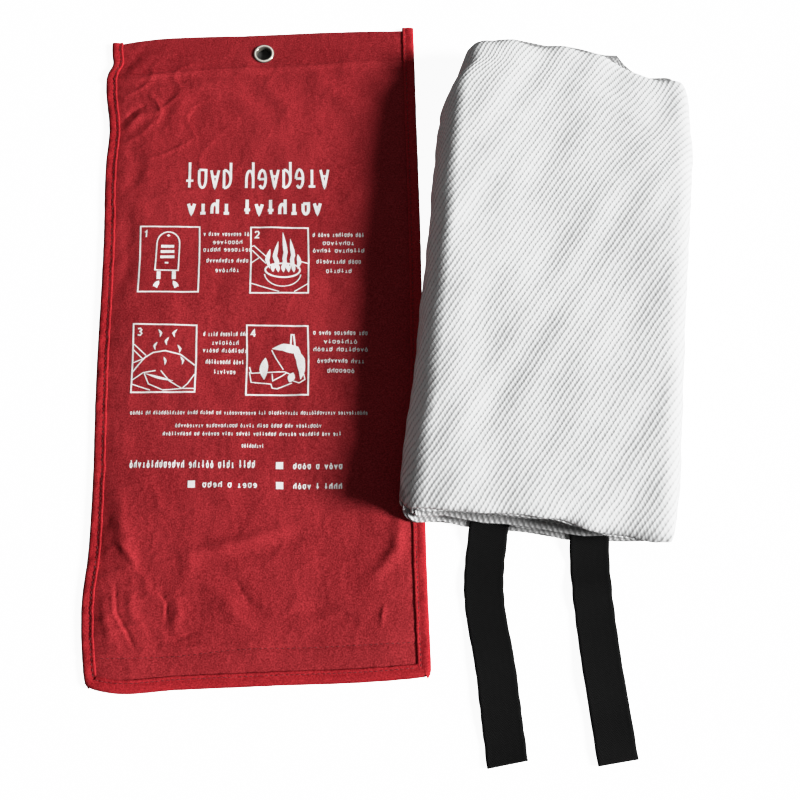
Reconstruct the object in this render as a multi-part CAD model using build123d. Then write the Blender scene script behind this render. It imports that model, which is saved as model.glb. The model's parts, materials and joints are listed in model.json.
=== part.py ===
from build123d import *
import os

# A fire blanket taken out of its wall pouch.  The empty pouch lies flat with its
# hanging eyelet towards +Y and its mouth towards -Y.  The folded glass cloth lies
# beside it, turned a little and resting on the pouch's right edge, and its two
# pull straps run out towards -Y.  All sizes are in millimetres.

# Pouch shell
pouch_width = 215.0
pouch_length = 460.0
ply = 0.6
field_side_inset = 9.5
field_side_run = 10.0
end_band = 26.0
field_end_run = 18.0
back_drop = 0.5
front_rise = 3.4

# Edge binding tape
tape = 0.5
binding_width = 8.0
thread_inset = 5.5
thread_width = 0.5
thread_height = 0.3

# Heights of the rims of the two plies
back_rim = tape
front_rim = 2.4
lip_tape_low = 1.9
side_top = front_rim + ply + tape
mouth_top = back_rim + ply + tape
field_top = front_rim + front_rise + ply

# Mouth lip and its hook and loop closure
lip_length = 78.0
lip_gap = 0.5
strip_length = 190.0
strip_width = 17.0
strip_inset = 8.5
strip_thickness = 0.5
closure_row_inset = 17.5

# Hanging eyelet
eyelet_inset = 13.0
eyelet_bore_radius = 5.0
eyelet_barrel_radius = 5.8
eyelet_flange_radius = 8.0
eyelet_hole_radius = 5.9
eyelet_crest = 1.3

# Folded glass cloth: 1.5 m by 2.0 m in nine by six folds
bundle_width = 172.0
bundle_length = 342.0
bundle_height = 34.0
bundle_side_radius = 15.0
bundle_end_radius = 3.0
bundle_x = 197.0
bundle_y = 28.0
bundle_turn = -8.0
relief_gap = 0.8

# Pull straps
strap_width = 25.0
strap_thickness = 1.6
strap_rest_height = 2.0
anchor_level_run = 29.0
anchor_slope_end = 41.0
hinge_gap = 0.3
pocket_gap = 0.3
pocket_depth = 40.0
box_stitch_length = 18.0
box_stitch_width = 18.0
root_length = 53.5
strap_end_y = -281.0

# Printed instructions
ink = 0.15
print_turn = -2.4
frame_width = 41.0
frame_height = 51.0
frame_line = 0.7
frame_column = 77.0
frame_row = 73.5

half_width = pouch_width / 2
half_length = pouch_length / 2
hinge_y = -half_length + lip_length
eyelet_y = half_length - eyelet_inset


def block(x_low, x_high, y_low, y_high, z_low, z_high):
    """A plain block between two corners."""
    size = (x_high - x_low, y_high - y_low, z_high - z_low)
    middle = ((x_low + x_high) / 2, (y_low + y_high) / 2, (z_low + z_high) / 2)
    return Pos(*middle) * Box(*size)


def frustum(rim_z, rise, thickness_offset):
    """The raised field's body, from its foot at rim_z to its flat top."""
    foot_x = 2 * (half_width - field_side_inset)
    foot_y = 2 * (half_length - end_band)
    top_x = foot_x - 2 * field_side_run
    top_y = foot_y - 2 * field_end_run
    foot = Pos(0, 0, rim_z + thickness_offset) * Rectangle(foot_x, foot_y)
    top = Pos(0, 0, rim_z + rise + thickness_offset) * Rectangle(top_x, top_y)
    return loft([foot, top], ruled=True)


def dished_ply(rim_z, rise):
    """One ply of fabric: a flat rim with a shallow raised or sunken field."""
    side = half_width - tape
    rim = block(-side, side, -half_length + tape, half_length, rim_z, rim_z + ply)
    outer_offset = ply if rise > 0 else 0
    inner_offset = 0 if rise > 0 else ply
    return rim + frustum(rim_z, rise, outer_offset) - frustum(rim_z, rise, inner_offset)


def eyelet_hole():
    return Pos(0, eyelet_y, 0) * Cylinder(eyelet_hole_radius, 40)


def pouch_back_panel():
    return dished_ply(back_rim, -back_drop) - eyelet_hole()


def front_half(y_low, y_high):
    """The front ply between two heights up the pouch."""
    return dished_ply(front_rim, front_rise) & block(-200, 200, y_low, y_high, 0, 20)


def pouch_front_panel():
    return front_half(hinge_y + lip_gap / 2, half_length) - eyelet_hole()


def pouch_front_lip():
    return front_half(-half_length, hinge_y - lip_gap / 2)


def side_binding(side):
    """U-shaped tape round both plies, and round the back ply alone beside the lip."""
    outer = side * half_width
    inner = side * (half_width - binding_width)
    slot = side * (half_width - tape)
    low, high = sorted((outer, inner))
    slot_low, slot_high = sorted((slot, inner))
    upper = block(low, high, hinge_y, half_length, 0, side_top)
    upper -= block(slot_low, slot_high, hinge_y - 1, half_length + 1, back_rim, front_rim + ply)
    mouth_end = -half_length + binding_width
    lower = block(low, high, mouth_end, hinge_y, 0, mouth_top)
    lower -= block(slot_low, slot_high, mouth_end - 1, hinge_y + 1, back_rim, back_rim + ply)
    return upper + lower


def back_mouth_binding():
    """Tape round the back ply's edge at the mouth."""
    side = half_width - tape
    mouth_end = -half_length + binding_width
    tape_block = block(-half_width, half_width, -half_length, mouth_end, 0, mouth_top)
    slot = block(-side, side, -half_length + tape, mouth_end + 1, back_rim, back_rim + ply)
    return tape_block - slot


def lip_edge_binding():
    """Tape round the three free edges of the lip."""
    side = half_width - tape
    inner = half_width - binding_width
    y_high = hinge_y - lip_gap / 2
    tape_block = block(-half_width, half_width, -half_length, y_high, lip_tape_low, side_top)
    window = block(-inner, inner, -half_length + binding_width, y_high + 1, 0, 20)
    slot = block(-side, side, -half_length + tape, y_high + 1, front_rim, front_rim + ply)
    return tape_block - window - slot


def closure_strip(z_low):
    y_low = -half_length + strip_inset
    half = strip_length / 2
    return block(-half, half, y_low, y_low + strip_width, z_low, z_low + strip_thickness)


def top_hem_facing():
    """Stiffening band between the plies that carries the eyelet."""
    side = half_width - tape
    band = block(-side, side, half_length - end_band + 2, half_length, back_rim + ply, front_rim)
    return band - eyelet_hole()


def eyelet_barrel():
    """Tube through both plies with a rolled flange on the front."""
    flange_z = front_rim + ply
    bore = eyelet_bore_radius
    outer = eyelet_barrel_radius
    lip = eyelet_flange_radius
    profile = Polyline((bore, 0), (outer, 0), (outer, flange_z), (lip, flange_z))
    crest = ThreePointArc(
        (lip, flange_z),
        ((bore + lip) / 2, flange_z + eyelet_crest),
        (bore, flange_z + eyelet_crest / 2),
    )
    wall = Line((bore, flange_z + eyelet_crest / 2), (bore, 0))
    section = make_face([*profile.edges(), crest, wall])
    upright = Plane.XZ * section
    return Pos(0, eyelet_y, 0) * revolve(upright, Axis.Z)


def eyelet_washer():
    ring = Cylinder(eyelet_flange_radius, back_rim) - Cylinder(eyelet_hole_radius, back_rim * 3)
    return Pos(0, eyelet_y, back_rim / 2) * ring


def side_seam_thread(side):
    middle = side * (half_width - thread_inset)
    half = thread_width / 2
    top = side_top + thread_height
    return block(middle - half, middle + half, hinge_y + 1, half_length - 1, side_top, top)


def lip_seam_thread():
    """Thread round the three bound edges of the lip."""
    run = half_width - thread_inset
    half = thread_width / 2
    y_low = -half_length + thread_inset
    y_high = hinge_y - 1
    top = side_top + thread_height
    frame = block(-run - half, run + half, y_low - half, y_high, side_top, top)
    return frame - block(-run + half, run - half, y_low + half, y_high + 1, 0, 20)


def closure_seam_thread():
    """The row that sews the loop strip's upper edge to the lip."""
    y_low = -half_length + closure_row_inset
    half = strip_length / 2
    foot = front_rim + ply
    return block(-half, half, y_low, y_low + thread_width, foot, foot + thread_height)


def bar(x, y, width, height):
    return Pos(x + width / 2, y - height / 2) * Rectangle(width, height)


def picture_frame(x, y):
    """One empty picture frame with a few plain label bars beside it."""
    outline = bar(x, y, frame_width, frame_height)
    window = bar(
        x + frame_line, y - frame_line, frame_width - 2 * frame_line, frame_height - 2 * frame_line
    )
    shapes = [outline - window]
    for row in range(4):
        shapes.append(bar(x + frame_width + 4, y - 10 - row * 8, 26, 2.2))
    return shapes


def instruction_print():
    """Ink film on the front: plain heading bars, four frames and rows of plain bars."""
    shapes = [bar(-54, 131, 104, 19), bar(-52, 104, 94, 11)]
    for row in range(2):
        for column in range(2):
            shapes += picture_frame(-84 + column * frame_column, 81 - row * frame_row)
    for row in range(4):
        shapes.append(bar(-86, -54 - row * 8, 156, 2.6))
    for row in range(2):
        shapes.append(bar(-85 + row * 40, -89 - row * 12, 80 - row * 40, 4))
        shapes.append(bar(2, -89 - row * 12, 5, 5))
        shapes.append(bar(14, -89 - row * 12, 34, 4))
    films = [extrude(Pos(0, 0, field_top) * shape, ink) for shape in shapes]
    return Rot(0, 0, print_turn) * Compound([film.solids()[0] for film in films])


def in_bundle(shape):
    """Carry a shape from the bundle's own frame to its place beside the pouch."""
    return Pos(bundle_x, bundle_y, 0) * Rot(0, 0, bundle_turn) * shape


class Strap:
    """One pull strap: a root sewn under the cloth and a free tail on the surface."""

    def __init__(self, root, root_turn, tail_turn):
        self.root = root
        self.root_turn = root_turn
        self.tail_turn = tail_turn
        end = self.root_frame() * Pos(0, -root_length, 0)
        self.hinge = (end.position.X, end.position.Y)

    def root_frame(self):
        return Pos(self.root[0], self.root[1], 0) * Rot(0, 0, self.root_turn)

    def tail_frame(self):
        return Pos(self.hinge[0], self.hinge[1], 0) * Rot(0, 0, self.tail_turn)

    def anchor(self):
        """Webbing that leaves the cloth level and comes down to the surface."""
        high = strap_rest_height
        thick = strap_thickness
        outline = Polyline(
            (0, high),
            (-anchor_level_run, high),
            (-anchor_slope_end, 0),
            (-70, 0),
            (-70, thick),
            (-anchor_slope_end, thick),
            (-anchor_level_run, high + thick),
            (0, high + thick),
            close=True,
        )
        section = Plane.YZ * make_face(outline)
        webbing = extrude(section, strap_width / 2, both=True)
        beyond = Pos(0, hinge_gap, 0) * Box(90, 80, 20, align=(Align.CENTER, Align.MAX, Align.CENTER))
        return self.root_frame() * webbing - self.tail_frame() * beyond

    def tail(self):
        length = self.hinge[1] - strap_end_y
        webbing = Box(
            strap_width, length, strap_thickness, align=(Align.CENTER, Align.MAX, Align.MIN)
        )
        return self.tail_frame() * webbing

    def pocket(self):
        """Room for the root and its stitching between the cloth layers."""
        side = strap_width / 2 + pocket_gap
        low = strap_rest_height - pocket_gap
        high = strap_rest_height + strap_thickness + thread_height + pocket_gap
        return self.root_frame() * block(-side, side, -pocket_depth, pocket_gap, low, high)

    def box_stitching(self):
        """A box with crossed diagonals, sewn through the root."""
        foot = strap_rest_height + strap_thickness
        half_x = box_stitch_width / 2
        y_high = -3.0
        y_low = y_high - box_stitch_length
        middle = (y_low + y_high) / 2
        line = thread_width
        rows = block(-half_x, half_x, y_low, y_high, foot, foot + thread_height)
        rows -= block(-half_x + line, half_x - line, y_low + line, y_high - line, 0, 20)
        diagonal = Box(box_stitch_width * 1.39, line, thread_height)
        for turn in (45, -45):
            rows += Pos(0, middle, foot + thread_height / 2) * Rot(0, 0, turn) * diagonal
        return self.root_frame() * rows


left_strap = Strap((150.0, -112.0), -7.5, 3.5)
right_strap = Strap((209.5, -121.0), -0.7, 3.8)


def blanket_cloth():
    """The folded cloth as one soft block with rolled sides, clear of the pouch's edge."""
    outline = RectangleRounded(bundle_width, bundle_height, bundle_side_radius)
    roll = extrude(Plane.XZ * outline, bundle_length / 2, both=True)
    end_edges = roll.edges().filter_by(Plane.XZ)
    roll = fillet(end_edges, bundle_end_radius)
    cloth = in_bundle(Pos(0, 0, bundle_height / 2) * roll)
    over_pouch = half_width + relief_gap
    cloth -= block(0, over_pouch, -300, 300, -1, field_top + relief_gap)
    return cloth - left_strap.pocket() - right_strap.pocket()


def blanket_hem_thread():
    """Row of thread along the sewn hem at the cloth's strap end."""
    end = -bundle_length / 2
    half = bundle_width / 2 - 20
    return in_bundle(block(-half, half, end - thread_height, end, 7.0, 7.0 + thread_width))


nodes = {
    "pouch_back_panel": pouch_back_panel(),
    "pouch_front_panel": pouch_front_panel(),
    "left_edge_binding": side_binding(-1),
    "right_edge_binding": side_binding(1),
    "back_mouth_binding": back_mouth_binding(),
    "top_hem_facing": top_hem_facing(),
    "hook_strip": closure_strip(back_rim + ply),
    "eyelet_barrel": eyelet_barrel(),
    "eyelet_washer": eyelet_washer(),
    "left_seam_thread": side_seam_thread(-1),
    "right_seam_thread": side_seam_thread(1),
    "instruction_print": instruction_print(),
    "pouch_front_lip": pouch_front_lip(),
    "lip_edge_binding": lip_edge_binding(),
    "loop_strip": closure_strip(front_rim - strip_thickness),
    "lip_seam_thread": lip_seam_thread(),
    "closure_seam_thread": closure_seam_thread(),
    "blanket_cloth": blanket_cloth(),
    "blanket_hem_thread": blanket_hem_thread(),
    "left_strap_anchor": left_strap.anchor(),
    "right_strap_anchor": right_strap.anchor(),
    "left_strap_stitching": left_strap.box_stitching(),
    "right_strap_stitching": right_strap.box_stitching(),
    "left_pull_strap": left_strap.tail(),
    "right_pull_strap": right_strap.tail(),
}

# The part's origin is the middle of the whole layout, on the surface it lies on.
layout = Compound([solid for shape in nodes.values() for solid in shape.solids()]).bounding_box()
middle = layout.center()
to_origin = Pos(-middle.X, -middle.Y, 0)

os.makedirs("parts", exist_ok=True)
for name, shape in nodes.items():
    export_step(to_origin * shape, f"parts/{name}.step")

print("pouch centre", round(-middle.X, 4), round(-middle.Y, 4))
print("layout size", layout.size)
for label, strap in (("left", left_strap), ("right", right_strap)):
    x, y = strap.hinge
    print(label, "strap hinge", round(x - middle.X, 4), round(y - middle.Y, 4), strap.tail_turn)
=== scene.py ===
"""Looks of a fire blanket lying beside its empty hanging pouch.

Three groups of pieces: the red pouch with its tapes, thread, eyelet and print; the
folded glass cloth; and the two black pull straps.  Lengths are in metres.
"""

import json
import math

import bmesh
import bpy
import numpy as np
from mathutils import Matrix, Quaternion, Vector
from mathutils.bvhtree import BVHTree


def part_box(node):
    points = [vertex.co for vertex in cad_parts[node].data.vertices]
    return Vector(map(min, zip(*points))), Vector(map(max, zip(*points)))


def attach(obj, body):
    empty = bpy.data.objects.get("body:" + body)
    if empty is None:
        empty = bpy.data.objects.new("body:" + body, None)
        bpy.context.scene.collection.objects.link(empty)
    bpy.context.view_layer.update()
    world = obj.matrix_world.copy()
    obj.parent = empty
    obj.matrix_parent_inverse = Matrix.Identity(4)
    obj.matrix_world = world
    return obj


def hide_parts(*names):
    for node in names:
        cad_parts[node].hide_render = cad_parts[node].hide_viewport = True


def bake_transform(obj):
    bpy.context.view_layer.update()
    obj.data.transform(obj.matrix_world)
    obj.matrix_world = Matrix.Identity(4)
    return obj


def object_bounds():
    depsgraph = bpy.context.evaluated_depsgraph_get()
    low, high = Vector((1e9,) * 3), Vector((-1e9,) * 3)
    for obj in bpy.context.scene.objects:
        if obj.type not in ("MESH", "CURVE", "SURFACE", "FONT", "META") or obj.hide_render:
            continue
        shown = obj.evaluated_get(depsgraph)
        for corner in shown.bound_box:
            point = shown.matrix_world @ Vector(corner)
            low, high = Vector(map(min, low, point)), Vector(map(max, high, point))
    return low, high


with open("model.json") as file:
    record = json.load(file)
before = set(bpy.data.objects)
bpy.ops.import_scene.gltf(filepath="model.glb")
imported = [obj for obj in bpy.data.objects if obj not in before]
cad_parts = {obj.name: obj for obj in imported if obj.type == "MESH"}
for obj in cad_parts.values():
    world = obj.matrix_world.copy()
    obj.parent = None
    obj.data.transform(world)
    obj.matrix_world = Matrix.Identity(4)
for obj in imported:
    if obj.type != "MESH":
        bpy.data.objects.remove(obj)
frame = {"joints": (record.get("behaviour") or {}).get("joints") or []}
cad_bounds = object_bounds()
joints = {joint["name"]: joint for joint in frame["joints"]}

# The pouch's own frame: x across it and y along it from its middle
left_tape_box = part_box("left_edge_binding")
right_tape_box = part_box("right_edge_binding")
mouth_tape_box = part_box("back_mouth_binding")
POUCH_WIDTH = right_tape_box[1].x - left_tape_box[0].x
POUCH_LENGTH = left_tape_box[1].y - mouth_tape_box[0].y
POUCH_X = (right_tape_box[1].x + left_tape_box[0].x) / 2
POUCH_Y = (left_tape_box[1].y + mouth_tape_box[0].y) / 2
HALF_WIDTH = POUCH_WIDTH / 2
HALF_LENGTH = POUCH_LENGTH / 2
LIP_HINGE_Y = joints["front_lip_open"]["pos_m"][1] - POUCH_Y

# The folded cloth's own frame, turned clockwise beside the pouch
cloth_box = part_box("blanket_cloth")
CLOTH_X = (cloth_box[0].x + cloth_box[1].x) / 2
CLOTH_Y = (cloth_box[0].y + cloth_box[1].y) / 2
CLOTH_HEIGHT = cloth_box[1].z
CLOTH_WIDTH = 0.172
CLOTH_LENGTH = 0.342
CLOTH_TURN = math.radians(-8.0)

RIM_HEIGHT = 0.0022


# ---------------------------------------------------------------- mesh helpers


def grid_faces(rows, columns):
    """Quads of a rows by columns grid of points, stored row by row."""
    index = np.arange(rows * columns).reshape(rows, columns)
    corners = (index[:-1, :-1], index[:-1, 1:], index[1:, 1:], index[1:, :-1])
    return np.stack([c.ravel() for c in corners], axis=1)


def mesh_object(name, points, faces, material):
    """A smooth-shaded mesh object with one material."""
    mesh = bpy.data.meshes.new(name)
    mesh.from_pydata(np.asarray(points, float).tolist(), [], [list(map(int, f)) for f in faces])
    mesh.materials.append(material)
    mesh.polygons.foreach_set("use_smooth", [True] * len(mesh.polygons))
    mesh.update()
    made = bpy.data.objects.new(name, mesh)
    bpy.context.scene.collection.objects.link(made)
    return made


def grid_object(name, points, material):
    """A smooth sheet from a grid of points, shape (rows, columns, 3)."""
    rows, columns = points.shape[:2]
    return mesh_object(name, points.reshape(-1, 3), grid_faces(rows, columns), material)


def store_vector(obj, name, values):
    """Keeps one vector per point, which a material reads by name."""
    attribute = obj.data.attributes.new(name, "FLOAT_VECTOR", "POINT")
    attribute.data.foreach_set("vector", np.asarray(values, np.float32).ravel())


def finish_piece(obj, body=None, blend=None, replaces=()):
    """Hides the CAD nodes that the piece stands for, then parents it to the body it moves with or, given a
    blend, bakes its place into its mesh.
    """
    if replaces:
        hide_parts(*replaces)
    if blend:
        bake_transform(obj)
    else:
        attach(obj, body)


def smooth_step(value):
    """Rises smoothly from 0 to 1 as the value does, and stays level outside."""
    value = np.clip(value, 0.0, 1.0)
    return value * value * (3 - 2 * value)


def curve_through(points, at):
    """A smooth curve through (position, value) points, read at the given positions."""
    points = np.array(points, float)
    x, y = points[:, 0], points[:, 1]
    slope = np.gradient(y, x)
    at = np.clip(at, x[0], x[-1])
    i = np.clip(np.searchsorted(x, at) - 1, 0, len(x) - 2)
    span = x[i + 1] - x[i]
    t = (at - x[i]) / span
    a = (1 + 2 * t) * (1 - t) ** 2
    b = t * (1 - t) ** 2
    c = t * t * (3 - 2 * t)
    d = t * t * (t - 1)
    return a * y[i] + b * span * slope[i] + c * y[i + 1] + d * span * slope[i + 1]


def ripples(x, y, count, shortest, longest, seed):
    """Smooth seeded noise between about -1 and 1, from waves of many directions."""
    random = np.random.default_rng(seed)
    total = np.zeros(np.broadcast(x, y).shape)
    for _ in range(count):
        wavelength = math.exp(random.uniform(math.log(shortest), math.log(longest)))
        turn = random.uniform(0, math.pi)
        phase = random.uniform(0, 2 * math.pi)
        along = x * math.cos(turn) + y * math.sin(turn)
        total += np.cos(2 * math.pi * along / wavelength + phase)
    return total / math.sqrt(count) / 1.4


def in_pouch(x, y, z):
    """Shared-frame points from the pouch's own coordinates."""
    return np.stack(np.broadcast_arrays(x + POUCH_X, y + POUCH_Y, z), axis=-1)


def cloth_place(x, y):
    """Where a point given in the folded cloth's own x and y lies in the shared frame."""
    cos, sin = math.cos(CLOTH_TURN), math.sin(CLOTH_TURN)
    return CLOTH_X + x * cos - y * sin, CLOTH_Y + x * sin + y * cos


def in_cloth(x, y, z):
    """Shared-frame points from the folded cloth's own coordinates."""
    return np.stack(np.broadcast_arrays(*cloth_place(x, y), z), axis=-1)


def stitch_mesh(centres, directions, up, length, radius):
    """Small thread dashes: each an arched bead from one needle hole to the next."""
    rings, sides = 5, 6
    points, faces = [], []
    along = np.linspace(-0.5, 0.5, rings)
    for number, (centre, direction) in enumerate(zip(centres, directions)):
        direction = direction / np.linalg.norm(direction)
        side = np.cross(up, direction)
        side /= np.linalg.norm(side)
        rise = np.cross(direction, side)
        for step in along:
            thick = radius * (1 - (2 * step) ** 4 * 0.75)
            lift = -radius * 1.1 * (2 * step) ** 2
            middle = centre + direction * step * length + rise * lift
            for k in range(sides):
                turn = 2 * math.pi * k / sides
                points.append(middle + thick * (side * math.cos(turn) + rise * math.sin(turn)))
        first = number * rings * sides
        for ring in range(rings - 1):
            for k in range(sides):
                a = first + ring * sides + k
                b = first + ring * sides + (k + 1) % sides
                faces.append((a, b, b + sides, a + sides))
        faces.append(tuple(first + k for k in reversed(range(sides))))
        faces.append(tuple(first + (rings - 1) * sides + k for k in range(sides)))
    return np.array(points), faces


def stitch_row(name, path, pitch, length, radius, material, slant=0.0, up=(0.0, 0.0, 1.0)):
    """Evenly pitched stitches along a path of points."""
    steps = np.linalg.norm(np.diff(path, axis=0), axis=1)
    distance = np.concatenate([[0], np.cumsum(steps)])
    count = int(distance[-1] / pitch)
    at = (np.arange(count) + 0.5) * pitch

    def point_at(where):
        return np.stack([np.interp(where, distance, path[:, k]) for k in range(3)], axis=1)

    directions = point_at(at + pitch * 0.3) - point_at(at - pitch * 0.3)
    directions = directions + slant * np.cross(up, directions)
    points, faces = stitch_mesh(point_at(at), directions, up, length, radius)
    return mesh_object(name, points, faces, material)


# ------------------------------------------------------------------- materials


def new_material(name, color, roughness, specular=0.5):
    """A Principled material, its node tree and its shader."""
    material = bpy.data.materials.new(name)
    material.use_nodes = True
    shader = material.node_tree.nodes["Principled BSDF"]
    shader.inputs["Base Color"].default_value = (*color, 1)
    shader.inputs["Roughness"].default_value = roughness
    shader.inputs["Specular IOR Level"].default_value = specular
    return material, material.node_tree, shader


def add_node(tree, kind, **values):
    """A node of a kind, with its input sockets set by name."""
    made = tree.nodes.new(kind)
    for key, value in values.items():
        if hasattr(made, key):
            setattr(made, key, value)
        else:
            made.inputs[key.replace("_", " ")].default_value = value
    return made


def math_node(tree, operation, first, second=None):
    """A Math node fed by numbers or sockets."""
    made = tree.nodes.new("ShaderNodeMath")
    made.operation = operation
    for socket, value in zip(made.inputs, (first, second)):
        if value is None:
            continue
        if isinstance(value, (int, float)):
            socket.default_value = value
        else:
            tree.links.new(value, socket)
    return made.outputs[0]


def noise_node(tree, vector, scale, detail=3.0, roughness=0.55):
    """Noise over a vector, scaled per metre."""
    made = add_node(tree, "ShaderNodeTexNoise", Scale=scale, Detail=detail, Roughness=roughness)
    tree.links.new(vector, made.inputs["Vector"])
    return made.outputs["Fac"]


def color_ramp(tree, factor, stops):
    """A ramp through (position, colour) stops."""
    made = tree.nodes.new("ShaderNodeValToRGB")
    ramp = made.color_ramp
    while len(ramp.elements) < len(stops):
        ramp.elements.new(0.5)
    for element, (position, color) in zip(ramp.elements, stops):
        element.position = position
        element.color = (*color, 1)
    tree.links.new(factor, made.inputs["Fac"])
    return made.outputs["Color"]


def add_bump(tree, shader, height, distance, strength=1.0):
    """Turns a height into a bumped normal on the shader."""
    bump = add_node(tree, "ShaderNodeBump", Strength=strength, Distance=distance)
    tree.links.new(height, bump.inputs["Height"])
    tree.links.new(bump.outputs["Normal"], shader.inputs["Normal"])


def object_coordinates(tree):
    return tree.nodes.new("ShaderNodeTexCoord").outputs["Object"]


def attribute_vector(tree, name):
    """The vector that store_vector kept under a name."""
    made = tree.nodes.new("ShaderNodeAttribute")
    made.attribute_name = name
    return made.outputs["Vector"]


def rotated(tree, vector, turn):
    """A vector turned about its third axis."""
    made = tree.nodes.new("ShaderNodeMapping")
    made.inputs["Rotation"].default_value = (0, 0, turn)
    tree.links.new(vector, made.inputs["Vector"])
    return made.outputs["Vector"]


def split_axes(tree, vector):
    """A vector's first two parts."""
    made = tree.nodes.new("ShaderNodeSeparateXYZ")
    tree.links.new(vector, made.inputs[0])
    return made.outputs["X"], made.outputs["Y"]


def waves(tree, value, period):
    """A sine of a length coordinate, from -1 to 1."""
    return math_node(tree, "SINE", math_node(tree, "MULTIPLY", value, 2 * math.pi / period))


def half_waves(tree, value, period):
    """The same sine, from 0 to 1."""
    return math_node(tree, "ADD", math_node(tree, "MULTIPLY", waves(tree, value, period), 0.5), 0.5)


def mix_value(tree, first, second, share):
    """Two values mixed, with a share of the second."""
    kept = math_node(tree, "MULTIPLY", first, 1 - share)
    return math_node(tree, "ADD", kept, math_node(tree, "MULTIPLY", second, share))


def oxford_nylon(name, dark, light, thread_pitch, roughness):
    """Coated plain-weave nylon: thread grid, speckle, broad tone, painted shade on the doubled hem band."""
    material, tree, shader = new_material(name, light, roughness, 0.05)
    place = object_coordinates(tree)
    x, y = split_axes(tree, place)
    warp = waves(tree, x, thread_pitch)
    weft = waves(tree, y, thread_pitch)
    weave = math_node(tree, "MULTIPLY", warp, weft)
    speckle = noise_node(tree, place, 1050.0, 1.0, 0.5)
    broad = noise_node(tree, place, 15.0, 2.0)
    tone = mix_value(tree, speckle, broad, 0.22)
    # Painted shade: the doubled hem band is painted a little darker.
    painted_hem_shade, _ = split_axes(tree, attribute_vector(tree, "painted_hem_shade"))
    tone = math_node(tree, "SUBTRACT", tone, math_node(tree, "MULTIPLY", painted_hem_shade, 0.055))
    color = color_ramp(tree, tone, [(0.32, dark), (0.68, light)])
    tree.links.new(color, shader.inputs["Base Color"])
    height = mix_value(tree, weave, speckle, 0.7)
    add_bump(tree, shader, height, 0.00030, 0.8)
    gloss = color_ramp(tree, broad, [(0.3, (roughness - 0.08,) * 3), (0.7, (roughness + 0.1,) * 3)])
    tree.links.new(gloss, shader.inputs["Roughness"])
    return material


def glass_twill():
    """White woven glass: slanting ribs broken into short floats, painted shade in the rib valleys, darkened
    by painted_shade.
    """
    material, tree, shader = new_material("glass_twill", (0.80, 0.81, 0.81), 0.62, 0.3)
    cloth = attribute_vector(tree, "weave")
    turned = rotated(tree, cloth, RIB_TURN)
    across, _ = split_axes(tree, turned)
    stretch = tree.nodes.new("ShaderNodeMapping")
    stretch.inputs["Scale"].default_value = (460.0, 230.0, 1.0)
    tree.links.new(turned, stretch.inputs["Vector"])
    strands = noise_node(tree, stretch.outputs["Vector"], 1.0, 2.0)
    rib = math_node(tree, "POWER", half_waves(tree, across, RIB_PITCH), RIB_SHARPNESS)
    cross, _ = split_axes(tree, rotated(tree, cloth, -RIB_TURN))
    floats = half_waves(tree, cross, FLOAT_PITCH)
    yarn = noise_node(tree, cloth, 2400.0, 2.0)
    height = mix_value(tree, rib, floats, 0.24)
    height = mix_value(tree, height, strands, 0.34)
    height = mix_value(tree, height, yarn, 0.16)
    # Painted shade: the ramp makes the rib valleys darker than the ridges, as shade in the weave's hollows.
    stops = [
        (0.08, (0.30, 0.30, 0.30)), (0.24, (0.49, 0.49, 0.49)), (0.40, (0.68, 0.68, 0.68)),
        (0.56, (0.79, 0.80, 0.80)), (0.78, (0.87, 0.88, 0.88)),
    ]
    shade, _ = split_axes(tree, attribute_vector(tree, "painted_shade"))
    tone = math_node(tree, "SUBTRACT", height, math_node(tree, "MULTIPLY", shade, 0.17))
    tree.links.new(color_ramp(tree, tone, stops), shader.inputs["Base Color"])
    add_bump(tree, shader, height, 0.0005, 0.8)
    return material


def herringbone_webbing():
    """Black webbing with narrow columns of chevrons and a little lint."""
    material, tree, shader = new_material("herringbone_webbing", (0.006, 0.006, 0.006), 0.85, 0.08)
    place = attribute_vector(tree, "weave")
    across, along = split_axes(tree, place)
    column = math_node(tree, "FRACT", math_node(tree, "DIVIDE", across, 0.0042))
    fold = math_node(tree, "ABSOLUTE", math_node(tree, "SUBTRACT", column, 0.5))
    slanted = math_node(tree, "ADD", along, math_node(tree, "MULTIPLY", fold, 0.0060))
    chevron = waves(tree, slanted, 0.0014)
    lint = noise_node(tree, place, 900.0, 4.0)
    height = mix_value(tree, chevron, lint, 0.35)
    color = color_ramp(tree, height, [(0.30, (0.001, 0.001, 0.001)), (0.70, (0.013, 0.013, 0.013))])
    tree.links.new(color, shader.inputs["Base Color"])
    add_bump(tree, shader, height, 0.00014, 0.7)
    return material


def nickel():
    """Plated brass with a few dull spots, and painted light: a highlight on the rim's crest where the stored
    share is 1, shade where it is 0.
    """
    material, tree, shader = new_material("nickel", (0.78, 0.76, 0.70), 0.22, 0.5)
    shader.inputs["Metallic"].default_value = 0.3
    place = object_coordinates(tree)
    dull = noise_node(tree, place, 700.0, 4.0)
    gloss = color_ramp(tree, dull, [(0.35, (0.14,) * 3), (0.75, (0.38,) * 3)])
    tree.links.new(gloss, shader.inputs["Roughness"])
    # Painted light and shade: bright on the crest, dark on the rest of the eyelet.
    painted_crest_light, _ = split_axes(tree, attribute_vector(tree, "painted_crest_light"))
    tone = math_node(tree, "SUBTRACT", painted_crest_light, math_node(tree, "MULTIPLY", dull, 0.25))
    color = color_ramp(tree, tone, [(0.0, (0.13, 0.12, 0.10)), (0.75, (0.90, 0.86, 0.78))])
    tree.links.new(color, shader.inputs["Base Color"])
    add_bump(tree, shader, dull, 0.00005, 0.4)
    return material


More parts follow.
